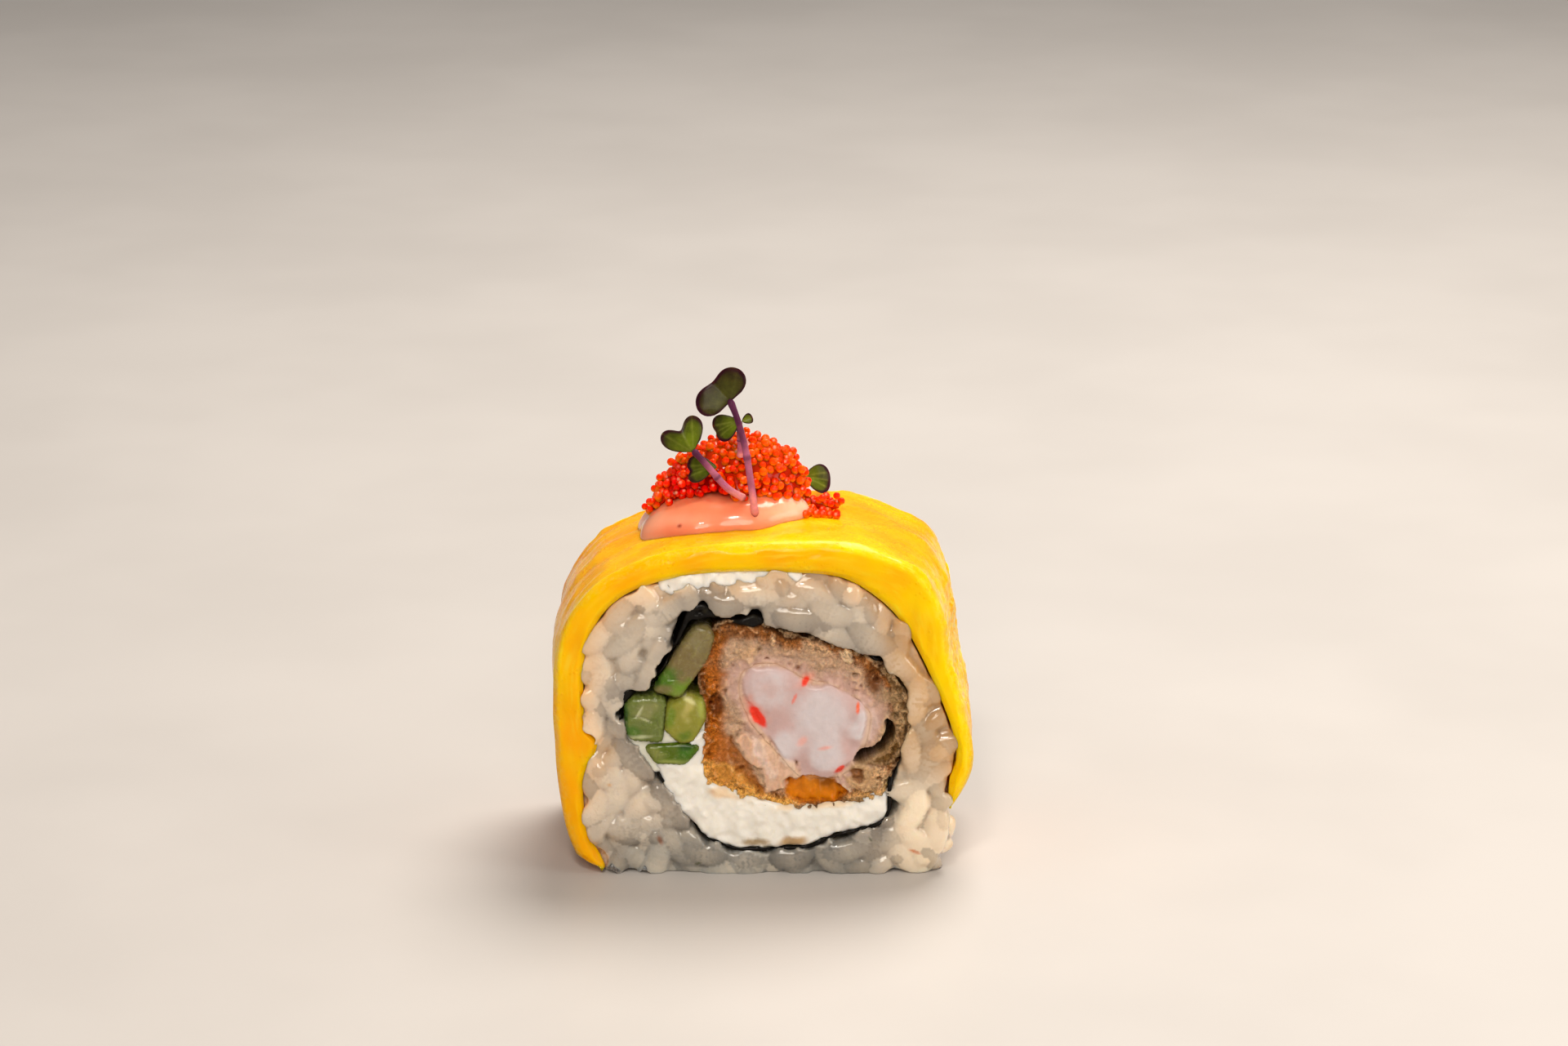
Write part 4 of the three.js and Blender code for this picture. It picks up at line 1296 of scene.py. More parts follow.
@dataclass
class Filling:
    """The cut face that batter and meat share: white lobes, torn pink flesh, dough, crust and oily amber."""

    dough: Rgb = srgb(184, 152, 124)
    pink: Rgb = srgb(196, 160, 146)
    milk: Rgb = srgb(212, 201, 202)
    blush: Rgb = srgb(204, 174, 170)
    brown: Rgb = srgb(146, 84, 16)
    dark: Rgb = srgb(72, 40, 14)
    # The pale crumb tone, also laid where the batter stands proud as a painted highlight.
    crumb: Rgb = srgb(224, 190, 146)
    shade: Rgb = srgb(34, 20, 6)
    lobes: tuple[Point, ...] = (
        (0.5, 21.8, 3.3), (6.2, 18.7, 4.6), (2.5, 15.3, 2.3), (7.0, 14.0, 2.8), (10.6, 16.9, 1.6),
        (11.1, 18.6, 1.0),
    )
    meat: tuple[float, ...] = (
        -2.2, 23.1, -1.4, 24.1, 0.4, 24.4, 2.7, 23.9, 4, 22.9, 5.3, 21.9, 7.3, 22.3, 9.4, 21.1, 10.9,
        20.2, 11.5, 18.2, 10.9, 16.6, 10.6, 14.9, 10.4, 14.5, 10.1, 13.6, 8.9, 12.7, 8.3, 12.1, 7.7, 11.4,
        6.3, 11.3, 5.3, 12, 4.6, 11.3, 4.2, 11.6, 4, 13.2, 3.2, 13.5, 2.2, 14, 1.5, 14.6, 0.9, 16, 0.2,
        16.8, -0.7, 18.1, -1.7, 20.1, -2.3, 21.7,
    )
    hollow: tuple[float, ...] = (
        13.4, 18.2, 14.1, 17.9, 14.5, 16.8, 14.1, 15.4, 13.2, 14.4, 11.6, 13.6, 10.1, 12.9, 9.9, 13.1,
        10.8, 14.6, 11.4, 14.5, 12.4, 14.8, 13.2, 15.7, 13.7, 17,
    )
    flakes: tuple[Flake, ...] = (
        Flake((-5.2, 28, -3.9, 27.9, -4.7, 26.1, -4.9, 24.5, -3.7, 23.6, -4.2, 22.3, -4.7, 20.6, -4.2, 18.7,
          -4.4, 17.1, -3.4, 15.5, -3.2, 13.8, -3.9, 12.2, -6.5, 12.7, -8, 13.3, -7.2, 14.9, -6, 16, -6.5,
          18.7, -8, 20.9, -7.5, 23.4, -5.7, 24.5, -5.5, 26.4), -0.25, (176, 98, 14), 0.9, 1.5),
        Flake((-7.5, 23.4, -6.5, 23.6, -5.8, 21.5, -6.5, 20.4, -7.6, 21.5), -0.25, (96, 48, 10), 0.85, 0.9),
        Flake((-6.2, 20.9, -4.9, 21.5, -4.2, 19.8, -5.1, 18.2, -6, 19.3), -0.3, (98, 46, 8), 0.85, 0.9),
        Flake((-6.5, 17.1, -5.2, 17.6, -4.8, 15.5, -5.2, 13.6, -6.2, 14.9), 0.1, (176, 100, 22), 0.7, 0.9),
        Flake((-6, 28.3, -3.7, 28.7, -1.4, 28.6, 1.4, 27.9, 1.4, 27.3, -1.1, 27.7, -3.4, 27.6, -4.7, 26.8,
          -5.5, 26.9), 0, (128, 72, 16), 0.8, 0.8),
        Flake((-4.2, 24.5, -2.5, 24.6, -2.9, 24.1, -3.9, 24.1), -0.3, (140, 76, 30), 0.7, 0.5),
        Flake((0.4, 26.9, 0.9, 28.3, 1.5, 27.5, 1.2, 26.5), 0.3, (214, 176, 140), 0.8, 0.4),
        Flake((8.3, 26, 9.6, 26, 9.7, 24.6, 9.2, 25.2, 8.7, 25.4), 0.35, (214, 184, 148), 0.85, 0.35),
        Flake((4.2, 27.2, 6.3, 27.1, 7.8, 25.8, 6.3, 25.6, 4.8, 26.2), 0.15, (206, 172, 136), 0.7, 0.8),
        Flake((-3.2, 26.5, -0.6, 26.4, -1.4, 25, -2.9, 25.2), 0.15, (204, 168, 130), 0.6, 0.9),
        Flake((11.1, 24.5, 12.4, 24.2, 13.2, 22.8, 12.4, 21.2, 11.6, 21.9, 10.9, 23.1),
          -0.3, (112, 60, 10), 0.9, 1.1),
        Flake((11.9, 24.5, 13.7, 24.2, 15.2, 22.6, 16.1, 20.1, 16.8, 17.6, 16.2, 15.5, 15.1, 13.8, 14.3, 13,
          12.4, 12.7, 10.9, 12.8, 9.9, 13, 11.4, 13.6, 12.9, 14.1, 13.9, 15.2, 14.5, 16.8, 14.2, 18.2, 13.7,
          18.2, 14, 19.6, 14.2, 21.5, 13.3, 23.1), 0.3, (108, 80, 46), 0.95, 0.5),
        # A paler band along the shell's inner edge: lighter crust and a painted highlight.
        Flake((13.2, 21.9, 14.5, 21.5, 15.6, 19.6, 15.9, 17.6, 15, 17.1, 14.5, 18.7, 13.7, 20.2),
          0.2, (160, 130, 92), 0.75, 0.8),
        Flake((15.9, 18.7, 16.8, 17.6, 16.2, 14.9, 15, 13.1, 14.6, 13.6, 15.6, 15.5),
          -0.2, (64, 42, 18), 0.85, 0.6),
        Flake((12.4, 13.6, 13.9, 14.9, 14.6, 16, 14.8, 14.9, 13.7, 13.4, 12, 13.1),
          -0.3, (110, 76, 30), 0.8, 0.5),
        Flake((-8, 13.6, -6, 13.3, -4.2, 12.9, -2.1, 11.6, -0.3, 10, 0.4, 9.3, 2.7, 9, 4.2, 8.2, 2.2, 7.7,
          -1.6, 8.1, -4.9, 9.2, -6.5, 10.3, -7.9, 11.5), -0.15, (222, 164, 80), 0.95, 1),
        Flake((-6.5, 12.7, -4.2, 12.3, -2, 10.6, -3.4, 10.2, -5.7, 11.1), -0.1, (186, 122, 44), 0.7, 0.9),
        Flake((8.8, 8.9, 9.9, 9.7, 12.4, 10, 13.7, 10.8, 13.9, 9.5, 11.9, 8.9, 9.9, 8.4),
          -0.1, (196, 152, 96), 0.9, 0.9),
        # The groove below the petals: sunk, and painted darker brown as its shade.
        Flake((-3.5, 16.8, -2.9, 14.9, -2.1, 13.3, -1.1, 12.2, -0.3, 10.6, 0.4, 9.7, -0.6, 9.5, -1.8, 10.8,
          -2.9, 12.3, -3.8, 13.8, -4, 15.7), -0.45, (168, 98, 26), 0.8, 0.6),
        Flake((2.2, 11.2, 4, 11.3, 4.8, 11.6, 6.3, 11.3, 7.9, 11.3, 8.5, 10.6, 9.6, 9.7, 8.9, 8.9, 7.3, 8.4,
          4.8, 8.3, 3, 8.5, 2.2, 9.3), -0.75, (216, 128, 2), 0.96, 0.45),
        Flake((6.2, 11.4, 7.9, 11.2, 8.6, 10.2, 7.3, 9.7, 6.3, 10.2), -0.2, (134, 70, 2), 0.8, 0.8),
        Flake((-1.8, 17.1, -1.1, 16, 0.4, 16, 1.6, 14.4, 3.2, 13.6, 4.3, 11.4, 3.6, 11, 2.8, 11.6, 2.3, 10.8,
          2.8, 9.6, 2.1, 10, 1.4, 9.6, 0.2, 9.6, -0.2, 10.8, -0.3, 12.1, -1.5, 13.3, -2.5, 14.4, -3.3, 15.7,
          -2.8, 16.7), 0.45, (216, 178, 152), 1, 0.3),
        Flake((-1.5, 16.6, -0.6, 16, 0.4, 13.8, 1.6, 11.8, 0.8, 10.6, -0.1, 12.2, -1.1, 14.1),
          0.15, (228, 202, 186), 0.8, 0.5),
        Flake((2.2, 13.8, 3.2, 13.5, 4, 11.5, 3.2, 11.8, 2.7, 12.7), 0.1, (216, 190, 176), 0.8, 0.4),
        Flake((8, 12.1, 8.6, 12.4, 9, 10.8, 9.9, 10.1, 11.4, 9.7, 12.4, 10.1, 13.3, 10.8, 13.7, 12.2, 12.4,
          12.7, 10.9, 12.8, 9.9, 13.1, 9.6, 12.3, 9.9, 11.4, 9, 11.6), 0.3, (188, 152, 112), 0.95, 0.45),
        Flake((9.6, 12.1, 10.8, 12.2, 11, 11.2, 9.9, 11), -0.6, (128, 72, 24), 0.8, 0.6),
        Flake((7.9, 12.1, 8.4, 12.2, 8.9, 10.7, 10, 9.7, 9.6, 9.4, 8.5, 10.2),
          0.35, (214, 182, 162), 0.95, 0.25),
        Flake((10.8, 20.4, 12.2, 19.3, 13.2, 17.9, 12.5, 16.8, 12.2, 16, 10.4, 14.6, 9.9, 13.5, 8.6, 13.3,
          9.6, 16, 10.4, 18.2), 0.15, (206, 178, 168), 0.85, 0.9),
    )
    moist_flakes: tuple[int, ...] = (19, 21, 22, 23, 26, 27)
    flecks: tuple[Spot, ...] = (
        Spot(0.7, 21.7, 2.6, 2.2, 0, (198, 156, 146), 0.5, 1.0),
        Spot(-0.9, 19.0, 2.6, 1.3, -58, (236, 140, 116), 0.5, 1.0),
        Spot(-0.5, 18.4, 1.9, 0.62, -60, (236, 44, 8), 0.95, 0.45),
        Spot(4.7, 22.8, 1.6, 0.9, 35, (236, 140, 112), 0.55, 1.0),
        Spot(4.6, 22.6, 0.7, 0.42, 55, (236, 44, 8), 0.9, 0.5),
        Spot(3.4, 20.7, 0.8, 0.22, 66, (240, 96, 60), 0.6, 0.6),
        Spot(10.4, 19.6, 0.95, 0.3, 86, (244, 92, 20), 0.9, 0.5),
        Spot(8.5, 12.5, 0.75, 0.42, 45, (236, 44, 8), 0.9, 0.5),
        Spot(6.7, 15.0, 1.3, 0.4, 12, (240, 150, 130), 0.6, 0.9),
        Spot(4.3, 15.8, 0.9, 0.5, 50, (242, 170, 154), 0.5, 0.9),
    )

    def __post_init__(self) -> None:
        """Reads the batter's outlines and draws the noise."""
        self.grit = Grit(37)
        outer, self.hole = smooth_section("tempura_batter", 0.3, 1)[:2]
        self.outer = grown(outer, 0.5)
        self.meat_edge = grown(smooth_section("crab_meat", 0.3, 3)[0], 0.3)
        self.hollow_edge = grown(relax(resample(np.reshape(self.hollow, (-1, 2)), 0.3), 2), 0.2)
        self.body = Flake(self.meat, 0, self.milk, 1.0, 0.5)

    def ragged(self, points: Array) -> Array:
        """How far the edges of the flakes wander at plane points."""
        return 0.36 * self.grit.layered(at_depth(points, 0), 1.5, 5)

    def swell(self, points: Array) -> Array:
        """Height of the meat's lobes at plane points, from 0 to 1, with soft valleys between them."""
        reach = [np.hypot(points[:, 0] - x, points[:, 1] - z) / radius for x, z, radius in self.lobes]
        return 1 - np.prod([1 - np.exp(-1.6 * part**3) for part in reach], axis=0)

    def moist(self, points: Array, wobble: Array) -> Array:
        """1 on the torn, moist flesh and the jelly at plane points."""
        return np.clip(sum(self.flakes[number].within(points, wobble) for number in self.moist_flakes), 0, 1)

    def hollowed(self, points: Array, soft: float) -> Array:
        """1 in the batter's hollow at plane points, and 0 outside it and at its soft edge."""
        return inside(points, [self.hollow_edge]) * ease(0.0, soft, edge_distance(points, self.hollow_edge))

    def depth(self, points: Array) -> Array:
        """How far the face lies behind the knife's plane at plane points."""
        place = at_depth(points, 0)
        wobble = self.ragged(points)
        out = edge_distance(points, self.outer)
        meat = self.body.within(points, 0.5 * wobble)
        crumb = 0.5 - 1.5 * np.abs(self.grit.layered(place, 1.3, 4))
        pore = (1 - ease(0.12, 0.42, self.grit.cells(place, 1.2)[0])) * (self.grit.at(place, 2.6) > 0.3)
        crust = 1 - ease(0.6, 2.2, out + wobble)
        moist = self.moist(points, wobble)
        base = 0.85 + (0.3 + 0.2 * crust) * crumb * (1 - 0.8 * moist) + 0.5 * pore * (1 - moist)
        base += 0.22 * moist * self.grit.layered(place * (1.7, 1.0, 0.55), 1.2, 3)
        base += rounding(out, 0.35) + 0.25 * crust * self.grit.at(place, 0.6)
        for flake in self.flakes:
            base -= flake.lift * flake.within(points, wobble)
        flesh = 0.18 + 0.75 * (1 - self.swell(points)) ** 1.5 + 0.05 * self.grit.layered(place, 1.0, 3)
        base = base * (1 - meat) + flesh * meat
        return np.clip(base, 0.06, 2.6) + 3.4 * self.hollowed(points, 0.3)

    def paint(self, shape: Shape) -> tuple[Array, Array]:
        """Colours a slab of the filling, with painted shade in the batter's hollows and a painted highlight
        where it stands proud.

        Args:
            shape: the slab, with its facts x0 and z0

        Returns:
            the colour of each point, and how crisp it is
        """
        plane = shape.plane
        wobble = self.ragged(plane)
        out = edge_distance(plane, self.outer)
        meat = self.body.within(plane, 0.5 * wobble)
        near = 1 - ease(0.4, 2.4, edge_distance(plane, np.reshape(self.meat, (-1, 2))) + 1.6 * wobble)
        crisp = 1 - ease(0.7, 2.3, out + 1.6 * wobble)
        paint = blend(self.dough, self.pink, near)
        paint = blend(paint, self.brown, 0.9 * crisp)
        paint = blend(paint, self.dark, 1 - ease(0.35, 0.9, out + wobble))
        paint = patched(paint, plane, self.flakes, wobble)
        drop = hollows(shape, 14)
        # Painted shade: the batter darker and browner in its hollows.
        paint = blend(paint, paint * (0.5, 0.34, 0.2), ease(0.03, 0.34, drop) * (1 - meat))
        # Paler where the batter stands proud: pale crumbs and a painted highlight.
        crumb_and_highlight = paint * 0.55 + np.array(self.crumb) * 0.45
        paint = blend(paint, crumb_and_highlight, 0.6 * ease(0.03, 0.2, -drop) * (1 - meat))
        flesh = blend(self.blush, self.milk, ease(0.35, 0.95, self.swell(plane) + 0.3 * wobble))
        paint = blend(paint, flesh, meat)
        paint = patched(paint, plane, self.flecks, 0.8 * wobble)
        paint = blend(paint, self.shade, 0.92 * self.hollowed(plane, 0.4))
        moist = np.clip(meat + near + self.moist(plane, wobble), 0, 1)
        return paint, np.clip(0.35 + crisp, 0, 1) * (1 - moist)


@dataclass
class Batter:
    """Fried batter round the meat: crisp and dark outside, bready inside, hollow at the lower right."""

    filling: Filling
    half: float = 11.9

    def build(self) -> Object:
        """Makes the batter piece."""
        face = self.filling
        hole = grown(face.hole, -0.3)

        def relief(points: Array, rim: Array, side: Face) -> Array:
            """The shared face, a little deeper under the meat."""
            return face.depth(points) - 0.1 + 0.3 * (1 - ease(0.0, 0.5, edge_distance(points, hole)))

        slab = Slab([face.outer, hole], self.half, 0.15, (24, 5), 21)
        shape = slab.build(relief, lambda places: 0.24 * face.grit.layered(places, 1.6))
        paint, crisp = face.paint(shape)
        soft = 0.8 * ease(0.3, 1.6, edge_distance(shape.plane, face.meat_edge))
        made = shape.leaned(paint=paint, crisp=crisp, soft=soft)
        return shown(made, "fried_batter", CrustFinish().material, "batter", "tempura_batter")


@dataclass
class Meat:
    """Shellfish meat in swelling lobes; its edge lies on the batter without a step."""

    filling: Filling
    half: float = 11.98

    def build(self) -> Object:
        """Makes the meat piece."""
        face = self.filling
        slab = Slab([face.meat_edge], self.half, 0.15, 8, 31)
        shape = slab.build(lambda points, rim, side: np.maximum(face.depth(points) - 0.05, 0))
        paint, crisp = face.paint(shape)
        made = shape.leaned(paint=paint, crisp=crisp, soft=ease(0.1, 1.5, shape.facts["rim"]))
        return shown(made, "shellfish_meat", MeatFinish().material, "meat", "crab_meat")


@dataclass
class CreamCheese:
    """Cream cheese round the filling, crumbly at the cut, and a film of it between the cucumbers."""

    half: float = 11.85
    film: tuple[float, ...] = (
        -15.4, 16.6, -13.4, 13.6, -12.2, 11.9, -7.4, 12.4, -6.6, 15.5, -6.4, 18.8, -7.6, 18.2, -9.2, 17.4,
        -11.4, 16.8, -13, 16.7,
    )
    film_half: float = 11.2
    white: Rgb = srgb(255, 254, 250)
    watery: Rgb = srgb(246, 246, 232)
    stains: tuple[Spot, ...] = (
        Spot(-1.3, 3.7, 2.4, 0.55, 2, (176, 150, 104), 0.85, 0.8),
        Spot(3.4, 3.9, 2.6, 0.8, 4, (198, 158, 96), 0.85, 0.8),
        Spot(0.4, 3.1, 0.9, 0.4, 0, (96, 92, 48), 0.8, 0.8),
        Spot(6.4, 8.2, 6.4, 0.6, 4, (240, 204, 150), 0.6, 0.9),
        Spot(-3.6, 9.2, 3.6, 0.7, -14, (240, 200, 140), 0.6, 0.9),
    )

    def slab(
        self, node: str, seed: int, lump: float, depth: float, passes: int, grow: float, sunk: float
    ) -> Shape:
        """Makes a cream piece from a CAD node.

        Args:
            node: name of the CAD node
            seed: seed of its crumb
            lump: width of the lumps
            depth: how deep the creases between them are
            passes: how far the outline is rounded
            grow: how far it presses into its neighbours
            sunk: how far its faces lie behind the knife's plane

        Returns:
            the cream, white all over
        """
        grit = Grit(seed)
        outer = smooth_section(node, 0.25, passes)[0]
        press = grow + 0.3 * (1 - ease(-8.5, -7, outer[:, 0])) * (1 - ease(10.5, 12, outer[:, 1]))
        press += 0.14 * grit.layered(lifted(outer, 0.0), 1.6, 2)
        outer = relax(grown(outer, press[:, None]), 2)

        def relief(points: Array, rim: Array, face: Face) -> Array:
            """Lumps with creases between them."""
            place = lifted(points, face.value * 4.0)
            bend = np.column_stack([grit.at(place + shift, 1.4) for shift in (3.0, 11.0, 19.0)])
            first, second = grit.cells(place + 0.4 * bend, lump)
            crease = 1 - ease(0.02, 0.4, second - first)
            crumb = 0.26 * grit.layered(place, 1.3, 3)
            return np.clip(sunk + depth * crease + crumb + rounding(rim, 0.45), 0, 2)

        slab = Slab([outer], self.half, 0.26, 14, seed)
        return slab.build(relief, lambda places: 0.14 * grit.layered(places, 2.0, 2))

    def in_ring(self) -> Shape:
        """The cream round the filling, stained by it."""
        seed = 53
        shape = self.slab("cream_cheese", seed, 2.6, 0.14, 1, 0.33, 0.3)
        wobble = 0.5 * Grit(seed).layered(lifted(shape.plane, 0.0), 1.4, 3)
        return shape.leaned(paint=patched(self.white, shape.plane, self.stains, wobble))

    def layer(self) -> Shape:
        """The thin layer under the mango."""
        shape = self.slab("cream_cheese_top", 59, 2.4, 0.2, 2, 0.5, 0.5)
        return shape.leaned(paint=np.tile(self.white, (len(shape.places), 1)))

    def between_sticks(self) -> Shape:
        """The film that fills the gaps round the cucumbers."""
        seed = 67
        grit = Grit(seed)
        loop = relax(resample(np.reshape(self.film, (-1, 2)), 0.3), 2)

        def relief(points: Array, rim: Array, face: Face) -> Array:
            """A worn edge and faint lumps."""
            return rounding(rim, 0.3) + 0.1 * grit.at(lifted(points, 0.0), 1.2)

        shape = Slab([loop], self.film_half, 0.3, 8, seed).build(relief)
        return shape.leaned(paint=np.tile(self.watery, (len(shape.places), 1)))

    def build(self) -> list[Object]:
        """Makes the cream in the ring, its film and the thin layer under the mango."""
        material = CreamFinish().material
        return [
            shown(self.in_ring(), "cream_in_ring", material, "cream", "cream_cheese"),
            shown(self.between_sticks(), "cream_film", material, "cream", "cream_cheese"),
            shown(self.layer(), "cream_layer", material, "cream", "cream_cheese_top"),
        ]


@dataclass(frozen=True)
class Stick:
    """One cucumber stick: its flesh, and the spots of skin and of paler flesh on its cut face."""

    node: str
    flesh: Rgb
    spots: tuple[Spot, ...]


@dataclass
class Cucumber:
    """The four cucumber sticks."""

    half: float = 11.95
    sticks: tuple[Stick, ...] = (
        Stick("cucumber_1", srgb(128, 112, 70), (
            Spot(-7.4, 27.4, 2.0, 1.6, 60, (140, 130, 90), 0.8, 0.9),
            Spot(-10.9, 23.0, 2.6, 1.9, -10, (72, 116, 12), 0.9, 0.8),
            Spot(-9.0, 22.0, 2.0, 1.4, 0, (110, 150, 22), 0.8, 0.9),
            Spot(-11.9, 22.4, 1.0, 0.9, 0, (34, 74, 4), 0.95, 0.7),
        )),
        Stick("cucumber_2", srgb(108, 120, 54), (
            Spot(-12.6, 19.4, 1.9, 1.5, 20, (146, 144, 92), 0.7, 0.9),
            Spot(-15.4, 18.2, 0.75, 2.6, 4, (34, 76, 6), 0.95, 0.6),
            Spot(-14.4, 17.0, 1.6, 0.8, -20, (70, 112, 18), 0.8, 0.9),
            Spot(-13.2, 16.3, 2.2, 0.35, 4, (206, 208, 170), 0.7, 0.8),
            Spot(-13.6, 19.2, 0.9, 0.16, 60, (212, 212, 176), 0.7, 0.8),
            Spot(-12.8, 18.2, 1.1, 0.14, -25, (212, 212, 176), 0.6, 0.8),
        )),
        Stick("cucumber_3", srgb(146, 144, 52), (
            Spot(-8.4, 19.4, 0.9, 2.0, -14, (192, 180, 104), 0.85, 0.9),
            Spot(-10.2, 18.4, 0.7, 2.4, -8, (104, 132, 16), 0.8, 0.8),
            Spot(-8.8, 16.4, 1.5, 1.0, 0, (92, 120, 12), 0.85, 0.8),
            Spot(-6.9, 19.6, 0.5, 2.0, 4, (180, 186, 92), 0.7, 0.8),
            Spot(-8.2, 20.6, 1.4, 0.3, -30, (226, 222, 170), 0.7, 0.8),
        )),
        Stick("cucumber_4", srgb(86, 108, 9), (
            Spot(-11.9, 14.4, 1.6, 1.2, -30, (132, 136, 66), 0.85, 0.9),
            Spot(-10.4, 13.4, 3.0, 0.4, 0, (170, 176, 96), 0.6, 0.9),
            Spot(-8.6, 14.4, 1.6, 1.0, 20, (62, 112, 6), 0.9, 0.9),
            Spot(-8.2, 15.2, 1.6, 0.5, 10, (30, 72, 4), 0.85, 0.8),
        )),
    )

    def stick(self, facts: Stick, seed: int) -> Shape:
        """Makes one stick, with watery flesh that domes between its edges."""
        grit = Grit(seed)
        outer = grown(smooth_section(facts.node, 0.2, 3)[0], 0.26)

        def relief(points: Array, rim: Array, face: Face) -> Array:
            """A worn edge, and a slight dome with cracks."""
            place = lifted(points, 3.0)
            crack = 1 - ease(0.0, 0.1, np.abs(grit.layered(place, 2.2, 2)))
            return 0.1 + rounding(rim, 0.5) + 0.1 * grit.layered(place, 1.3, 3) + 0.14 * crack

        shape = Slab([outer], self.half, 0.2, 10, seed).build(relief)
        wobble = 0.3 * grit.layered(lifted(shape.plane, 0.0), 1.0, 3)
        paint = patched(facts.flesh, shape.plane, facts.spots, wobble)
        # Painted shade: each stick darker towards its rounded edge.
        return shape.leaned(paint=paint * (0.72 + 0.28 * ease(0.0, 0.5, shape.facts["rim"]))[:, None])

    def build(self) -> list[Object]:
        """Makes the four sticks."""
        material = CucumberFinish().material
        made = []
        for number, facts in enumerate(self.sticks, 1):
            shape = self.stick(facts, 70 + number)
            made.append(shown(shape, f"cucumber_stick_{number}", material, "cucumber", facts.node))
        return made


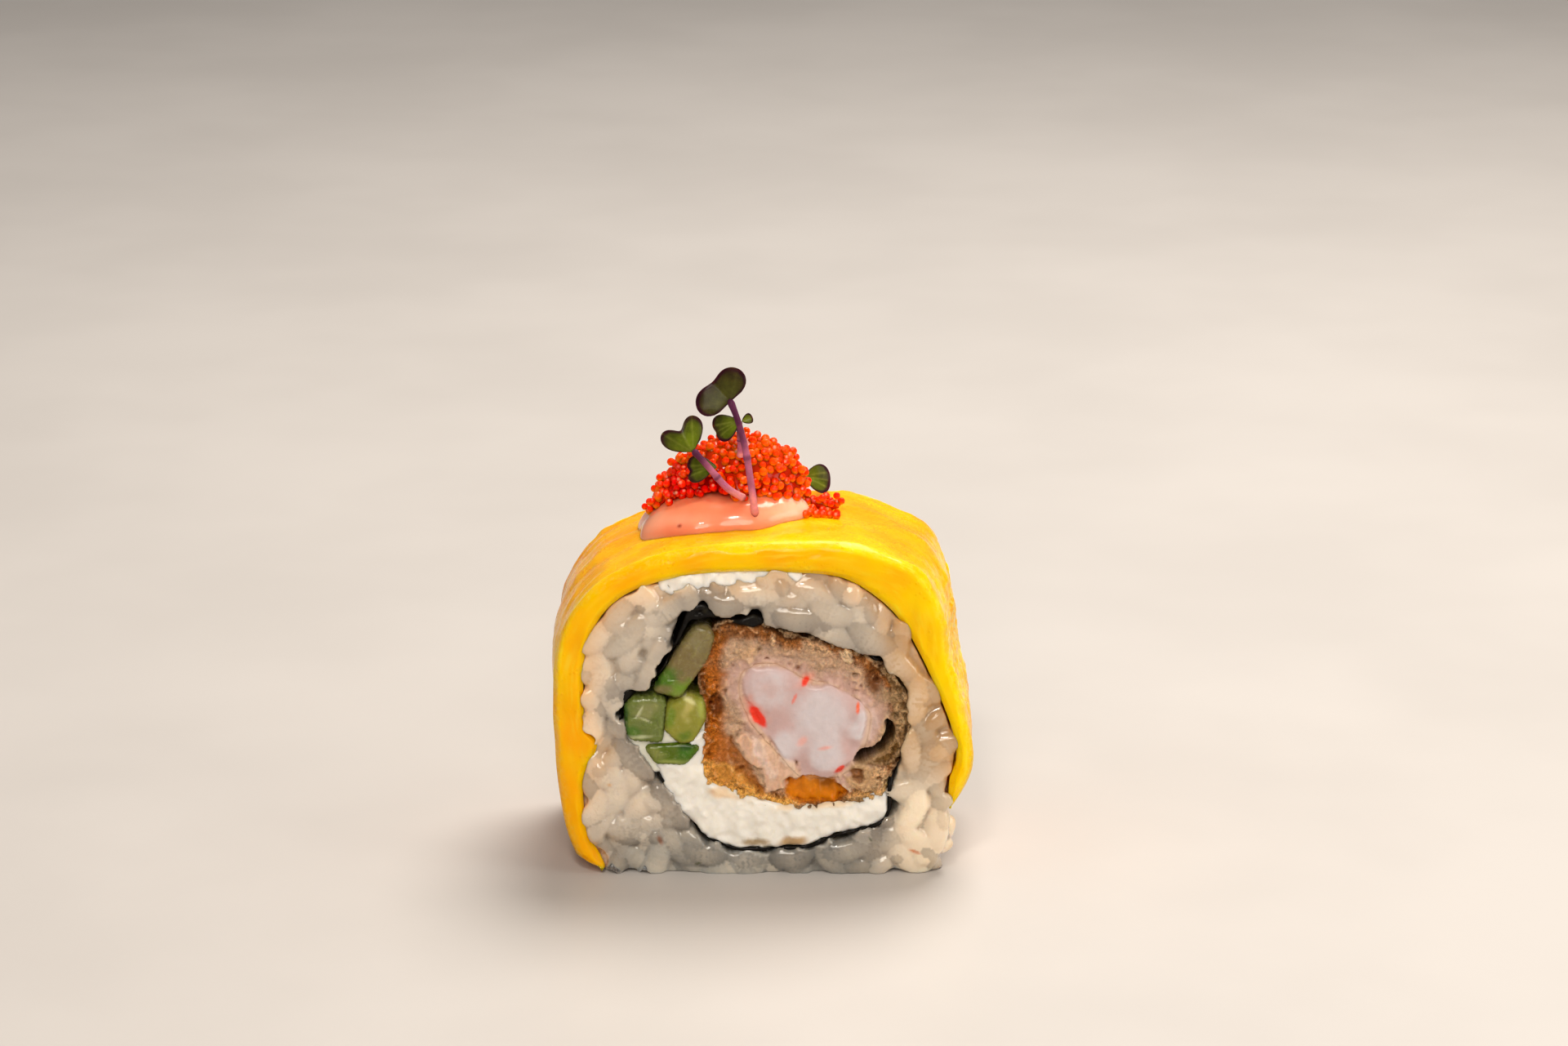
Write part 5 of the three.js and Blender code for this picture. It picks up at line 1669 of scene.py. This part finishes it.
@dataclass
class MangoSlice:
    """The mango slice bent over the rice, with fibres along it and a frayed back edge."""

    along: int = 500
    depths: tuple[float, ...] = (-11.95, -8.0, -4.0, 0.0, 4.0, 8.0, 11.95)
    edge: float = 0.8
    orange: Rgb = srgb(255, 214, 190)

    def lines(self, depth: float) -> tuple[Array, Array]:
        """The slice's outer and inner line at a depth, both from the left end to the right."""
        loop = resample(section("mango_slice", depth)[0], 0.15)
        left = loop[:, 0] < 0
        tail = int(np.argmin(np.where(left, loop[:, 1], 99)))
        tip = int(np.argmin(np.where(left, 99, loop[:, 1])))
        turned = np.roll(loop, -tail, axis=0)
        split = (tip - tail) % len(loop)
        sides = [turned[: split + 1], np.vstack([turned[split:], turned[:1]])[::-1]]
        sides.sort(key=lambda side: -np.abs(side - (0, 14)).sum(axis=1).mean())
        outer, inner = (relax(resample(side, 0, False, self.along), 4, False) for side in sides)
        return outer, inner

    def profile(self) -> Array:
        """The path round the slice's own section: place across the roll and share of its thickness.

        Returns:
            rows of Y and a share that is 0 at the outside and 1 at the inside
        """
        top = np.linspace((FRONT, 0), (BACK, 0), 90)[4:-4]
        back = np.linspace((BACK, 0), (BACK, 1), 9)[1:-1]
        under = np.linspace((BACK, 1), (FRONT, 1), 34)[1:-1]
        front = np.linspace((FRONT, 1), (FRONT, 0), 15)[1:-1]
        return np.vstack([top, back, under, front])

    def build(self) -> Object:
        """Makes the mango piece."""
        grit, fray = Grit(83), Grit(89)
        outers, inners = np.swapaxes([self.lines(depth) for depth in self.depths], 0, 1)
        profile = self.profile()
        spots = np.interp(profile[:, 0], self.depths, np.arange(len(self.depths)))
        low = np.clip(spots.astype(int), 0, len(self.depths) - 2)
        part = ease(0, 1, spots - low)[:, None, None]
        outer, inner = (lines[low] * (1 - part) + lines[low + 1] * part for lines in (outers, inners))
        share = profile[:, 1][:, None, None]
        flat = outer * (1 - share) + inner * share
        middle = outers[len(outers) // 2]
        run = np.concatenate([[0], np.cumsum(np.linalg.norm(np.diff(middle, axis=0), axis=1))])
        y, share = np.repeat(profile, self.along, axis=0).T
        thick = np.linalg.norm(outer - inner, axis=2).ravel()
        flow = np.column_stack([np.tile(run, len(profile)), y, share * thick])
        places = self.rounded(at_depth(flat.reshape(-1, 2), y), flow, thick)
        places = self.shaped(places, flow, thick, outer - inner, grit, fray)
        index = np.arange(len(places)).reshape(len(profile), -1)
        faces = flipped(strips(np.vstack([index, index[:1]]), closed=False))
        faces += [index[:, 0].tolist(), index[::-1, -1].tolist()]
        paint, glow = self.paint(places, flow), self.glow(places, flow, grit)
        shape = Shape(places, faces).leaned(flow=flow, paint=paint, glow=glow)
        return shown(shape, "mango_cover", MangoFinish().material, "mango", "mango_slice")

    def rounded(self, places: Array, flow: Array, thick: Array) -> Array:
        """Rounds the edges between the outside, the cut faces and the inside.

        Args:
            places: points of the plain slice
            flow: place along the slice, across the roll and into the flesh
            thick: the flesh's thickness at each point

        Returns:
            the rounded points
        """
        result = places.copy()
        skin = np.minimum(flow[:, 2], thick - flow[:, 2])
        sign = np.where(flow[:, 2] < thick / 2, 1, -1)
        for face in Face:
            corner = 1 - ease(0.0, self.edge, np.abs(face.value * BACK - flow[:, 1]) + skin)
            result[:, 1] -= face.value * 0.32 * corner
            inward = ((0, 0, 16.0) - result) * (1, 0, 1)
            inward /= np.linalg.norm(inward, axis=1, keepdims=True)
            result += inward * (0.22 * corner * sign)[:, None]
        return result

    def shaped(
        self, places: Array, flow: Array, thick: Array, across: Array, grit: Grit, fray: Grit
    ) -> Array:
        """Adds fibres, soft waves, a proud front rim and the frayed back edge.

        Args:
            places: points of the plain slice
            flow: place along the slice, across the roll and into the flesh
            thick: the flesh's thickness at each point
            across: from the inner to the outer line at each point
            grit: noise of the fibres
            fray: noise of the frayed edge

        Returns:
            the shaped points
        """
        result = places.copy()
        y = flow[:, 1]
        solid = np.maximum(thick, 0.3)
        out = across.reshape(-1, 2) / solid[:, None]
        on_top = 1 - ease(0.0, 0.5, flow[:, 2] / solid)
        fibre = grit.layered(flow, (7.0, 1.2, 2.0), 3)
        wave = grit.layered(flow + 31, (7.0, 4.0, 3.0), 2)
        crumb = grit.layered(flow + 13, 1.1, 3) * self.shoulder(places)
        push = on_top * (0.05 * fibre + 0.34 * wave + 0.2 * crumb) + 0.16 * on_top * bell(y + 11.3, 0.8)
        result[:, [0, 2]] += out * push[:, None]
        relief = 0.16 + 0.14 * grit.layered(flow * (1, 0, 1), (3.0, 1.0, 1.0), 3)
        result[:, 1] -= np.sign(y) * ease(11.5, 11.9, np.abs(y)) * np.clip(relief, 0, 1)
        torn = 0.5 + 0.7 * fray.layered(flow * (1, 0, 0), (1.6, 1, 1), 3)
        result[:, 1] -= ease(9.5, 12, y) * on_top * np.clip(torn, 0, 1.3)
        lift = 0.22 * fray.layered(flow, (2.6, 0.7, 1.0), 3)
        result[:, [0, 2]] += out * (lift * ease(8.0, 11.5, y) * on_top)[:, None]
        return result

    def shoulder(self, places: Array) -> Array:
        """1 on the crumbly shoulder at the right, and 0 away from it."""
        x, _, z = places.T
        return ease(12.5, 17.0, x) * ease(12, 20, z) * (1 - ease(28, 36, z))

    def paint(self, places: Array, flow: Array) -> Array:
        """Orange on the top and low on the sides, gold on the cut face."""
        x, y, z = places.T
        top = (1 - ease(0.3, 1.6, flow[:, 2])) * ease(-11.4, -9.5, flow[:, 1])
        cloud = Grit(85).layered(flow, (9.0, 3.2, 3.0), 2)
        deep = (1 - ease(8, 30, z)) * 0.3 + top * (0.6 + 0.35 * ease(-8, 2, y) + 0.2 * cloud)
        white = (1.0, 1.0, 1.0)
        # The crumbly right shoulder is kept a lighter gold, partly as a painted highlight.
        paint = blend(blend(white, self.orange, deep), white, 0.8 * self.shoulder(places))
        paint[:, 1] *= 0.86 + 0.14 * (1 - ease(-11.6, -11.0, flow[:, 1])) * ease(4, 14, x)
        return paint

    def glow(self, places: Array, flow: Array, grit: Grit) -> Array:
        """A painted highlight along the cut's outer edge, and pale, crumbly flesh with painted highlights on
        the right shoulder and at the low left.
        """
        top = 1 - ease(0.2, 0.9, flow[:, 2])
        # A painted highlight line along the cut's outer edge.
        rim = bell(flow[:, 1] + 11.5, 0.5) * top
        cloud = grit.layered(flow + 77, (4.0, 2.0, 2.0), 3)
        tail = (1 - ease(4, 12, places[:, 2])) * (1 - ease(-18, -15, places[:, 0]))
        return np.clip(0.8 * rim + (self.shoulder(places) + 0.8 * tail) * ease(-0.2, 0.5, cloud) * top, 0, 1)


@dataclass
class Sauce:
    """A spoonful of sauce that has spread on the mango and rounded at its edge."""

    middle: tuple[float, float] = (-4.9, 1.3)
    radii: tuple[float, float] = (9.5, 7.5)
    height: float = 3.0
    around: int = 150
    rings: int = 44
    under: tuple[float, ...] = (0.985, 0.9, 0.6, 0.3)
    coral: Rgb = srgb(250, 140, 98)
    pale: Rgb = srgb(255, 190, 158)
    fleck: Spot = Spot(-9.2, 38.6, 0.32, 0.2, 30, (150, 40, 20), 0.9, 0.6)

    def plan(self, angle: Array) -> Array:
        """How far the spoonful reaches at each angle, in parts of its radii."""
        reach = 1 + 0.045 * np.cos(3 * angle + 0.8) + 0.03 * np.cos(5 * angle - 1.1)
        tongue = bell((angle + 0.42 + np.pi) % (2 * np.pi) - np.pi, 0.3)
        return reach + 0.02 * np.cos(8 * angle + 2) + 0.07 * tongue

    def build(self, bed: BVHTree) -> Object:
        """Makes the sauce piece on the mango that carries it.

        Args:
            bed: the mango's surface, in metres

        Returns:
            the sauce piece
        """
        (across, along), (wide, long) = self.middle, self.radii
        angle = np.linspace(0, 2 * np.pi, self.around, endpoint=False)
        part = np.sin(np.linspace(0, np.pi / 2, self.rings + 1))[1:, None]
        x = across + wide * np.cos(angle) * self.plan(angle) * part
        y = along + long * np.sin(angle) * self.plan(angle) * part
        rise = self.height * (1 - part**3.2) ** 0.5 * (1 + 0.1 * (x - across) / wide)
        plan = np.column_stack([x.ravel(), y.ravel()])
        fold = 0.07 * Grit(97).layered(lifted(plan, 0.0), 4.5, 2).reshape(x.shape)
        top = heights(bed, x, y) + rise * (1 + fold * 0.8) - 0.05
        share = np.array(self.under)[:, None]
        low_x, low_y = across + (x[-1] - across) * share, along + (y[-1] - along) * share
        foot = heights(bed, low_x, low_y) - 0.35
        rings = np.stack([np.vstack(pair) for pair in ((x, low_x), (y, low_y), (top, foot))], axis=-1)
        plain = spun((across, along, top[0].mean()), rings, (across, along, foot[-1].mean()))
        shape = smoothed(Shape(plain.places, flipped(plain.faces)), 3)
        shape.facts["paint"] = self.paint(shape.places)
        return shown(shape, "sauce_spoonful", SauceFinish().material, "sauce", "sauce")

    def paint(self, places: Array) -> Array:
        """Coral, paler at the spoonful's rim and sides as painted highlights, with a dark fleck at its front.
        """
        x, y, z = places.T
        reach = np.hypot((x - self.middle[0]) / self.radii[0], (y - self.middle[1]) / self.radii[1])
        # Painted highlights: paler at the top of the rim, at the left end and at the upper right.
        light = 0.5 * ease(0.75, 1.0, reach) * ease(37.6, 39.6, z) + 0.3 * (1 - ease(-12.8, -10, x))
        paint = blend(self.coral, self.pale, light + 0.5 * ease(0.5, 3.4, x) * ease(37.6, 39.4, z))
        front = y < 0
        paint[front] = patched(paint[front], places[front][:, [0, 2]], [self.fleck], np.zeros(front.sum()))
        return paint


def heights(bed: BVHTree, x: Array, y: Array) -> Array:
    """Heights of a surface below places in plan, in millimetres, and 30 where there is none."""
    starts = np.stack([x * MM, y * MM, np.full(x.shape, 0.08)], axis=-1).reshape(-1, 3)
    hits = [bed.ray_cast(Vector(start), Vector((0, 0, -1)))[0] for start in starts]
    return np.array([30.0 if hit is None else hit.z / MM for hit in hits]).reshape(x.shape)


def surface_of(piece: Object) -> BVHTree:
    """A tree for finding places on a piece's surface."""
    work = bmesh.new()
    work.from_mesh(piece.data)
    tree = BVHTree.FromBMesh(work)
    work.free()
    return tree


@dataclass
class RoeHeap:
    """The heap of eggs on the sauce, with the few that rolled off to the right."""

    egg: float = 0.47
    shrink: float = 0.5
    orange: Rgb = srgb(255, 46, 0)
    amber: Rgb = srgb(255, 90, 0)
    red: Rgb = srgb(255, 2, 0)
    glow: Rgb = srgb(255, 148, 16)
    glint: Rgb = srgb(255, 206, 160)
    light: tuple[float, float, float] = (0.1, 0.3, 0.95)
    bright_side: tuple[float, float, float] = (-0.12, -0.79, 0.6)
    trail: tuple[Point, ...] = (
        (2.6, -1.6, 0.5), (3.5, -2.2, 0.4), (3.9, -1.2, 0.5), (4.7, -1.8, 0.42), (5.2, -1.0, 0.45),
        (5.9, -1.5, 0.45), (6.6, -1.1, 0.4), (7.4, -0.9, 0.42), (8.1, -1.2, 0.4), (4.4, -0.4, 0.5),
        (5.4, 0.1, 0.45), (3.2, -0.3, 0.6),
    )

    def mound(self) -> Shape:
        """The CAD heap as one closed skin without its bumps, a little smaller all round."""
        work = linked(read_shape(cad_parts["roe"].data).mesh("mound", closed=False), "mound")
        remesh = work.modifiers.new("skin", "REMESH")
        remesh.mode = "VOXEL"
        remesh.voxel_size = 0.4 * MM
        skin = smoothed(read_shape(evaluated(work)), 14)
        push = 0.6 * Grit(3).layered(skin.places, 2.8, 2) - self.shrink
        return Shape(skin.places + normals_of(skin) * push[:, None], skin.faces)

    def build(self, bed: BVHTree) -> Object:
        """Makes the roe piece.

        Args:
            bed: the mango's surface, in metres, which carries the eggs that rolled off

        Returns:
            the roe piece
        """
        material = RoeFinish().material
        ground, unit = self.mound(), ball(self.egg)
        size, inner = len(unit.places), (0, len(ground.places))
        proud = Shape(ground.places + normals_of(ground) * 0.5, ground.faces)
        draw = np.random.default_rng(8)
        x, y, rise = np.array(self.trail).T
        spots = np.column_stack([x, y, heights(bed, x, y) + rise])
        tints = [{"tint": np.full(size, draw.uniform(0, 1))} for _ in spots]
        eggs = joined([
            Scatter("roe_eggs", 5, 0.74, 4.4, 0.84, 1.1, 180).spread(ground, unit, material),
            Scatter("roe_loose_eggs", 15, 1.0, 0.7, 0.84, 1.05, 180).spread(proud, unit, material),
            *[Shape(unit.places + spot, unit.faces, tint) for spot, tint in zip(spots, tints)],
        ])
        middles = eggs.places.reshape(-1, size, 3).mean(axis=1).repeat(size, axis=0)
        below = (middles - eggs.places) @ np.array(self.light) / self.egg
        ahead = ((eggs.places - middles) @ np.array(self.bright_side)).reshape(-1, size)
        glint = np.zeros_like(ahead)
        glint[np.arange(len(glint)), ahead.argmax(axis=1)] = draw.uniform(-0.5, 0.75, len(glint)).clip(0)
        core = Shape(ground.places, ground.faces, {"tint": np.full(inner[1], 0.5)})
        heap = joined([eggs, core])
        paint = self.paint(heap.places, heap.facts["tint"], np.pad(below, inner, constant_values=-2.0))
        heap.facts = {"paint": blend(paint, self.glint, np.pad(glint.ravel(), inner))}
        return shown(heap, "roe_heap", material, "roe", "roe")

    def paint(self, places: Array, tint: Array, lit: Array) -> Array:
        """Colours the eggs.

        Args:
            places: points of the heap
            tint: a random number for each egg
            lit: 1 at an egg's side away from the lamp, where the light gathers, -1 towards it, and
                -2 inside the heap

        Returns:
            deep red low in the middle of the heap, orange above it and at the ends, with painted shade on the
            heap's core between the eggs
        """
        x, _, z = places.T
        paint = blend(self.orange, self.amber, 0.35 * ease(42.5, 46.5, z) + ease(0.66, 1.0, tint))
        low = 1 - ease(42.4, 44.8, z + 1.2 * (tint - 0.5))
        middle = 1 - ease(2.6, 4.6, np.abs(x + 7.2 + 0.6 * (tint - 0.5)))
        red = np.clip(low * middle + 0.35 * (tint < 0.2), 0, 1)
        paint = blend(paint, self.red, red)
        paint = blend(paint, self.glow, 0.8 * ease(0.0, 0.9, lit) * (1 - 0.9 * red))
        # Painted shade: each egg a little darker on its side towards the lamp, and the heap's core between
        # the eggs much darker.
        return paint * (0.88 + 0.12 * ease(-0.8, 0.3, lit) - 0.4 * (lit < -1.5))[:, None]


@dataclass(frozen=True)
class Leaf:
    """One seed leaf with two lobes.

    It has its foot, the place its lobes point to between them, half the angle between the lobes, the
    depth of the notch, the way it faces, how far the lobes fold forward, its thickness, and how purple
    its underside is.
    """

    foot: tuple[float, float, float]
    tip: tuple[float, float, float]
    spread: float
    notch: float
    facing: tuple[float, float, float] = (0.0, -1.0, 0.3)
    cup: float = 0.3
    thick: float = 0.22
    dusk: float = 0.5


@dataclass(frozen=True)
class SproutPlan:
    """One sprout: its stem's line and its leaves."""

    name: str
    node: str
    stem: tuple[Point, ...]
    leaves: tuple[Leaf, ...]


@dataclass
class Sprouts:
    """Cress sprouts stuck into the sauce, and two loose leaves."""

    radius: float = 0.4
    green: Rgb = srgb(80, 96, 0)
    bright: Rgb = srgb(128, 156, 8)
    vein: Rgb = srgb(164, 178, 60)
    purple: Rgb = srgb(50, 14, 28)
    mauve: Rgb = srgb(180, 100, 130)
    plum: Rgb = srgb(88, 38, 70)
    rose: Rgb = srgb(226, 144, 144)
    plans: tuple[SproutPlan, ...] = (
        SproutPlan(
            "tall_sprout", "sprout_tall",
            ((-0.9, -4.9, 39.6), (-1.1, -4.9, 41.6), (-1.5, -4.8, 44.3), (-1.8, -4.6, 46.7),
             (-2.2, -4.3, 48.3), (-2.8, -3.9, 50.6), (-3.7, -3.5, 52.6)),
            (Leaf((-3.6, -3.4, 52.4), (-6.4, -2.9, 55.3), 1.15, 0.3, (-0.1, -1, 0.15), 0.35, dusk=0.82),),
        ),
        SproutPlan(
            "short_sprout", "sprout_short",
            ((-2, -4.2, 41.4), (-4, -4.4, 42.6), (-5.4, -4.5, 44.4), (-6.6, -4.4, 45.8), (-7.7, -4.3, 47)),
            (Leaf((-7.7, -4.2, 46.8), (-9.7, -4.2, 50.2), 0.6, 0.32, (-0.1, -1, 0.4), -0.3),),
        ),
        SproutPlan(
            "small_sprout", "sprout_small",
            ((-2.5, -1.5, 45.4), (-2.5, -1.9, 47.3), (-2.7, -2.1, 49.6)),
            (
                Leaf((-2.5, -2.1, 49.8), (-5.4, -2.4, 48.5), 0.28, 0.05, (-0.2, -1, 0.4), 0.4),
                Leaf((-2.4, -2, 49.6), (-1.2, -1.8, 50.1), 0.2, 0.0, (0.2, -1, 0.4), 0.4),
            ),
        ),
        SproutPlan(
            "low_leaf", "leaf_low", (),
            (Leaf((-5.1, -2.9, 44.7), (-8.5, -2.7, 44.2), 0.24, 0.1, (-0.2, -1, 0.7)),),
        ),
        SproutPlan(
            "back_leaf", "leaf_back", (),
            (Leaf((4.3, 8.6, 40), (7.6, 9, 39.6), 0.36, 0.0, (0.1, -1, 0.8)),),
        ),
    )

    def stem(self, line: Sequence[Point], seed: int) -> Shape:
        """A tapered stem with faint ridges, and its paint from rose at the foot to plum at the top.

        Args:
            line: places along the stem, from its foot
            seed: seed of its clouding

        Returns:
            the stem
        """
        path = relax(resample(np.array(line, float), 0, False, 60), 60, False)
        path = resample(path, 0, False, 48)
        sides = 12
        along = np.gradient(path, axis=0)
        along /= np.linalg.norm(along, axis=1, keepdims=True)
        side = np.cross(along, (0.2, 1, 0.1))
        side /= np.linalg.norm(side, axis=1, keepdims=True)
        up = np.cross(side, along)
        angle = np.linspace(0, 2 * np.pi, sides, endpoint=False)
        row = np.arange(len(path))
        share = np.linspace(0, 1, len(path))
        close = np.minimum(1.0, (np.minimum(row, row[::-1]) + 0.35) / 2.0) ** 0.5
        knots = 0.2 * bell(share, 0.06) + 0.2 * bell(share - 0.5, 0.025) + 0.3 * bell(1 - share, 0.08)
        wide = (self.radius * (1.02 - 0.24 * share + knots) * close)[:, None]
        ridge = 1 + 0.06 * np.cos(4 * angle + share[:, None] * 3)
        flat, high = ((turn(angle) * wide * ridge)[..., None] for turn in (np.cos, np.sin))
        shape = spun(path[0], path[:, None] + (flat * side[:, None] + high * up[:, None]), path[-1])
        height = np.concatenate([[0], np.repeat(share, sides), [1]])
        wobble = 0.12 * Grit(seed).layered(shape.places, 1.2, 2)
        paint = blend(self.rose, self.mauve, ease(0.1, 0.35, height + wobble))
        ring = 0.9 * bell(height - 0.5, 0.018) + 0.8 * (1 - ease(0.0, 0.04, height))
        shape.facts["paint"] = blend(paint, self.plum, ease(0.5, 0.85, height + wobble) + ring)
        return shape

    def leaf(self, plan: Leaf, seed: int) -> Shape:
        """A folded leaf with two lobes, with thickness, veins and a dark rim.

        Args:
            plan: the leaf's facts
            seed: seed of its waves and its clouding

        Returns:
            the leaf
        """
        grit = Grit(seed)
        foot, tip = np.array(plan.foot, float), np.array(plan.tip, float)
        length = np.linalg.norm(tip - foot)
        ahead = (tip - foot) / length
        facing = np.array(plan.facing, float)
        facing -= ahead * (facing @ ahead)
        facing /= np.linalg.norm(facing)
        side = np.cross(ahead, facing)
        full = plan.spread + 0.55
        turn, part = np.meshgrid(np.linspace(-full, full, 45), np.sin(np.linspace(0.03, np.pi / 2, 22)))
        reach = length * (1 - plan.notch * bell(turn, 0.5 * plan.spread))
        reach *= np.sqrt(np.maximum(1 - np.abs(turn / full) ** 4, 0.01))
        run, off = part * reach * np.cos(turn), part * reach * np.sin(turn)
        flat = np.column_stack([run.ravel(), off.ravel()])
        wave = grit.at(lifted(flat, 0.0), 1.4).reshape(run.shape)
        lift = plan.cup * np.sqrt(off**2 + 0.02) + 0.16 * wave * part - 0.05 * (part * reach) ** 2
        middle = foot + run[..., None] * ahead + off[..., None] * side + lift[..., None] * facing
        normal = np.cross(np.gradient(middle, axis=0), np.gradient(middle, axis=1))
        normal /= np.maximum(np.linalg.norm(normal, axis=2, keepdims=True), 1e-9)
        veins = [bell(part * reach * (turn - at * plan.spread), 0.11) for at in (-0.85, 0, 0.85)]
        vein = np.clip(sum(veins), 0, 1)
        branch = bell(np.mod(part * 5 - np.abs(turn) * 1.6, 1) - 0.5, 0.1)
        edge = np.maximum(part, np.abs(turn) / full)
        slim = plan.thick / 2 * np.sqrt(1 - np.clip(edge, 0, 0.98) ** 6)
        upper = middle + normal * (slim - 0.05 * vein - 0.02 * branch)[..., None]
        places = np.stack([upper, middle - normal * slim[..., None]]).reshape(-1, 3)
        index = np.arange(run.size).reshape(run.shape)
        border = np.array([*index[0, :-1], *index[:-1, -1], *index[-1, :0:-1], *index[:0:-1, 0]])
        near = np.roll(border, -1)
        faces = strips(index, closed=False)
        faces += [[corner + run.size for corner in face[::-1]] for face in faces]
        faces += np.column_stack([near, border, border + run.size, near + run.size]).tolist()
        cloud = grit.layered(places[: run.size], 1.6, 3)
        rim = np.maximum(ease(0.8, 0.95, edge), 0.8 * (1 - ease(0.0, 0.16, part))).ravel()
        paint = blend(self.green, self.bright, 0.75 * (1 - ease(0.3, 0.9, part)).ravel() + 0.2 + 0.4 * cloud)
        paint = blend(paint, self.vein, (0.5 * vein + 0.15 * branch).ravel())
        paint = blend(paint, self.purple, rim * (1 + 0.4 * cloud))
        under = blend(paint, self.purple, np.full(len(paint), plan.dusk))
        return Shape(places, faces, {"paint": np.vstack([paint, under])})

    def build(self) -> list[Object]:
        """Makes the sprouts and the loose leaves."""
        material = SproutFinish().material
        made = []
        for number, plan in enumerate(self.plans):
            parts = [self.leaf(plan.leaves[0], 101 + number)]
            parts += [self.leaf(leaf, 131 + 7 * number + extra) for extra, leaf in enumerate(plan.leaves[1:])]
            if plan.stem:
                parts.append(self.stem(plan.stem, 151 + number))
            made.append(shown(joined(parts), plan.name, material, "sprout", plan.node))
        return made


# The room


@dataclass
class Studio:
    """A pale tabletop, soft lamps and the camera."""

    camera_at: tuple[float, float, float] = (2.27, -470.4, 185.61)
    camera_tip: float = 72.5
    lens: float = 101.8
    sensor: float = 36.0
    floor_size: float = 3000.0

    def floor(self) -> None:
        """Lays the tabletop."""
        half = self.floor_size / 2
        corners = np.array([(-half, -half, 0), (half, -half, 0), (half, half, 0), (-half, half, 0)], float)
        mesh = Shape(corners, [(0, 1, 2, 3)]).mesh("tabletop", closed=False)
        mesh.materials.append(TableFinish().material)
        linked(mesh, "tabletop")

    def lamp(self, name: str, at: Point, aim: Point, size: float, power: float, tone: Rgb) -> None:
        """Hangs a soft lamp.

        Args:
            name: name of the lamp
            at: its place, in millimetres
            aim: where it points, in millimetres
            size: its width, in millimetres
            power: its power, in watts
            tone: its colour
        """
        data = bpy.data.lights.new(name, "AREA")
        data.shape = "DISK"
        data.size = size * MM
        data.energy = power
        data.color = tone
        lamp = bpy.data.objects.new(name, data)
        lamp.location = Vector(at) * MM
        lamp.rotation_euler = (Vector(aim) - Vector(at)).to_track_quat("-Z", "Y").to_euler()
        bpy.context.scene.collection.objects.link(lamp)

    def build(self) -> None:
        """Makes floor, lamps, sky and camera."""
        self.floor()
        middle = (0.0, 0.0, 22.0)
        self.lamp("top", (120, 210, 480), middle, 320, 3.6, (1.0, 0.95, 0.88))
        self.lamp("front", (-20, -520, 300), middle, 260, 1.4, (1.0, 0.92, 0.82))
        self.lamp("spark", (-70, -380, 470), middle, 80, 0.95, (1.0, 0.93, 0.84))
        self.lamp("side", (430, -160, 220), middle, 260, 0.7, (1.0, 0.94, 0.86))
        world = bpy.data.worlds.new("room")
        world.use_nodes = True
        sky = world.node_tree.nodes["Background"]
        sky.inputs["Color"].default_value = (1.0, 0.98, 0.96, 1)
        sky.inputs["Strength"].default_value = 0.17
        scene = bpy.context.scene
        scene.world = world
        scene.view_settings.view_transform = "Standard"
        data = bpy.data.cameras.new("camera")
        data.lens = self.lens
        data.sensor_width = self.sensor
        data.clip_start = 0.01
        data.clip_end = 20
        camera = bpy.data.objects.new("camera", data)
        camera.location = Vector(self.camera_at) * MM
        camera.rotation_euler = (math.radians(self.camera_tip), 0, 0)
        scene.collection.objects.link(camera)
        scene.camera = camera


def main() -> None:
    """Builds the slice from the rice outwards, and then the room."""
    logging.basicConfig(level=logging.INFO, format="%(message)s")
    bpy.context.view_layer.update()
    RiceBlock().build()
    NoriSheet().build()
    filling = Filling()
    Batter(filling).build()
    Meat(filling).build()
    CreamCheese().build()
    Cucumber().build()
    mango = MangoSlice().build()
    bed = surface_of(mango)
    Sauce().build(bed)
    RoeHeap().build(bed)
    Sprouts().build()
    Studio().build()


if __name__ == "__main__":
    main()
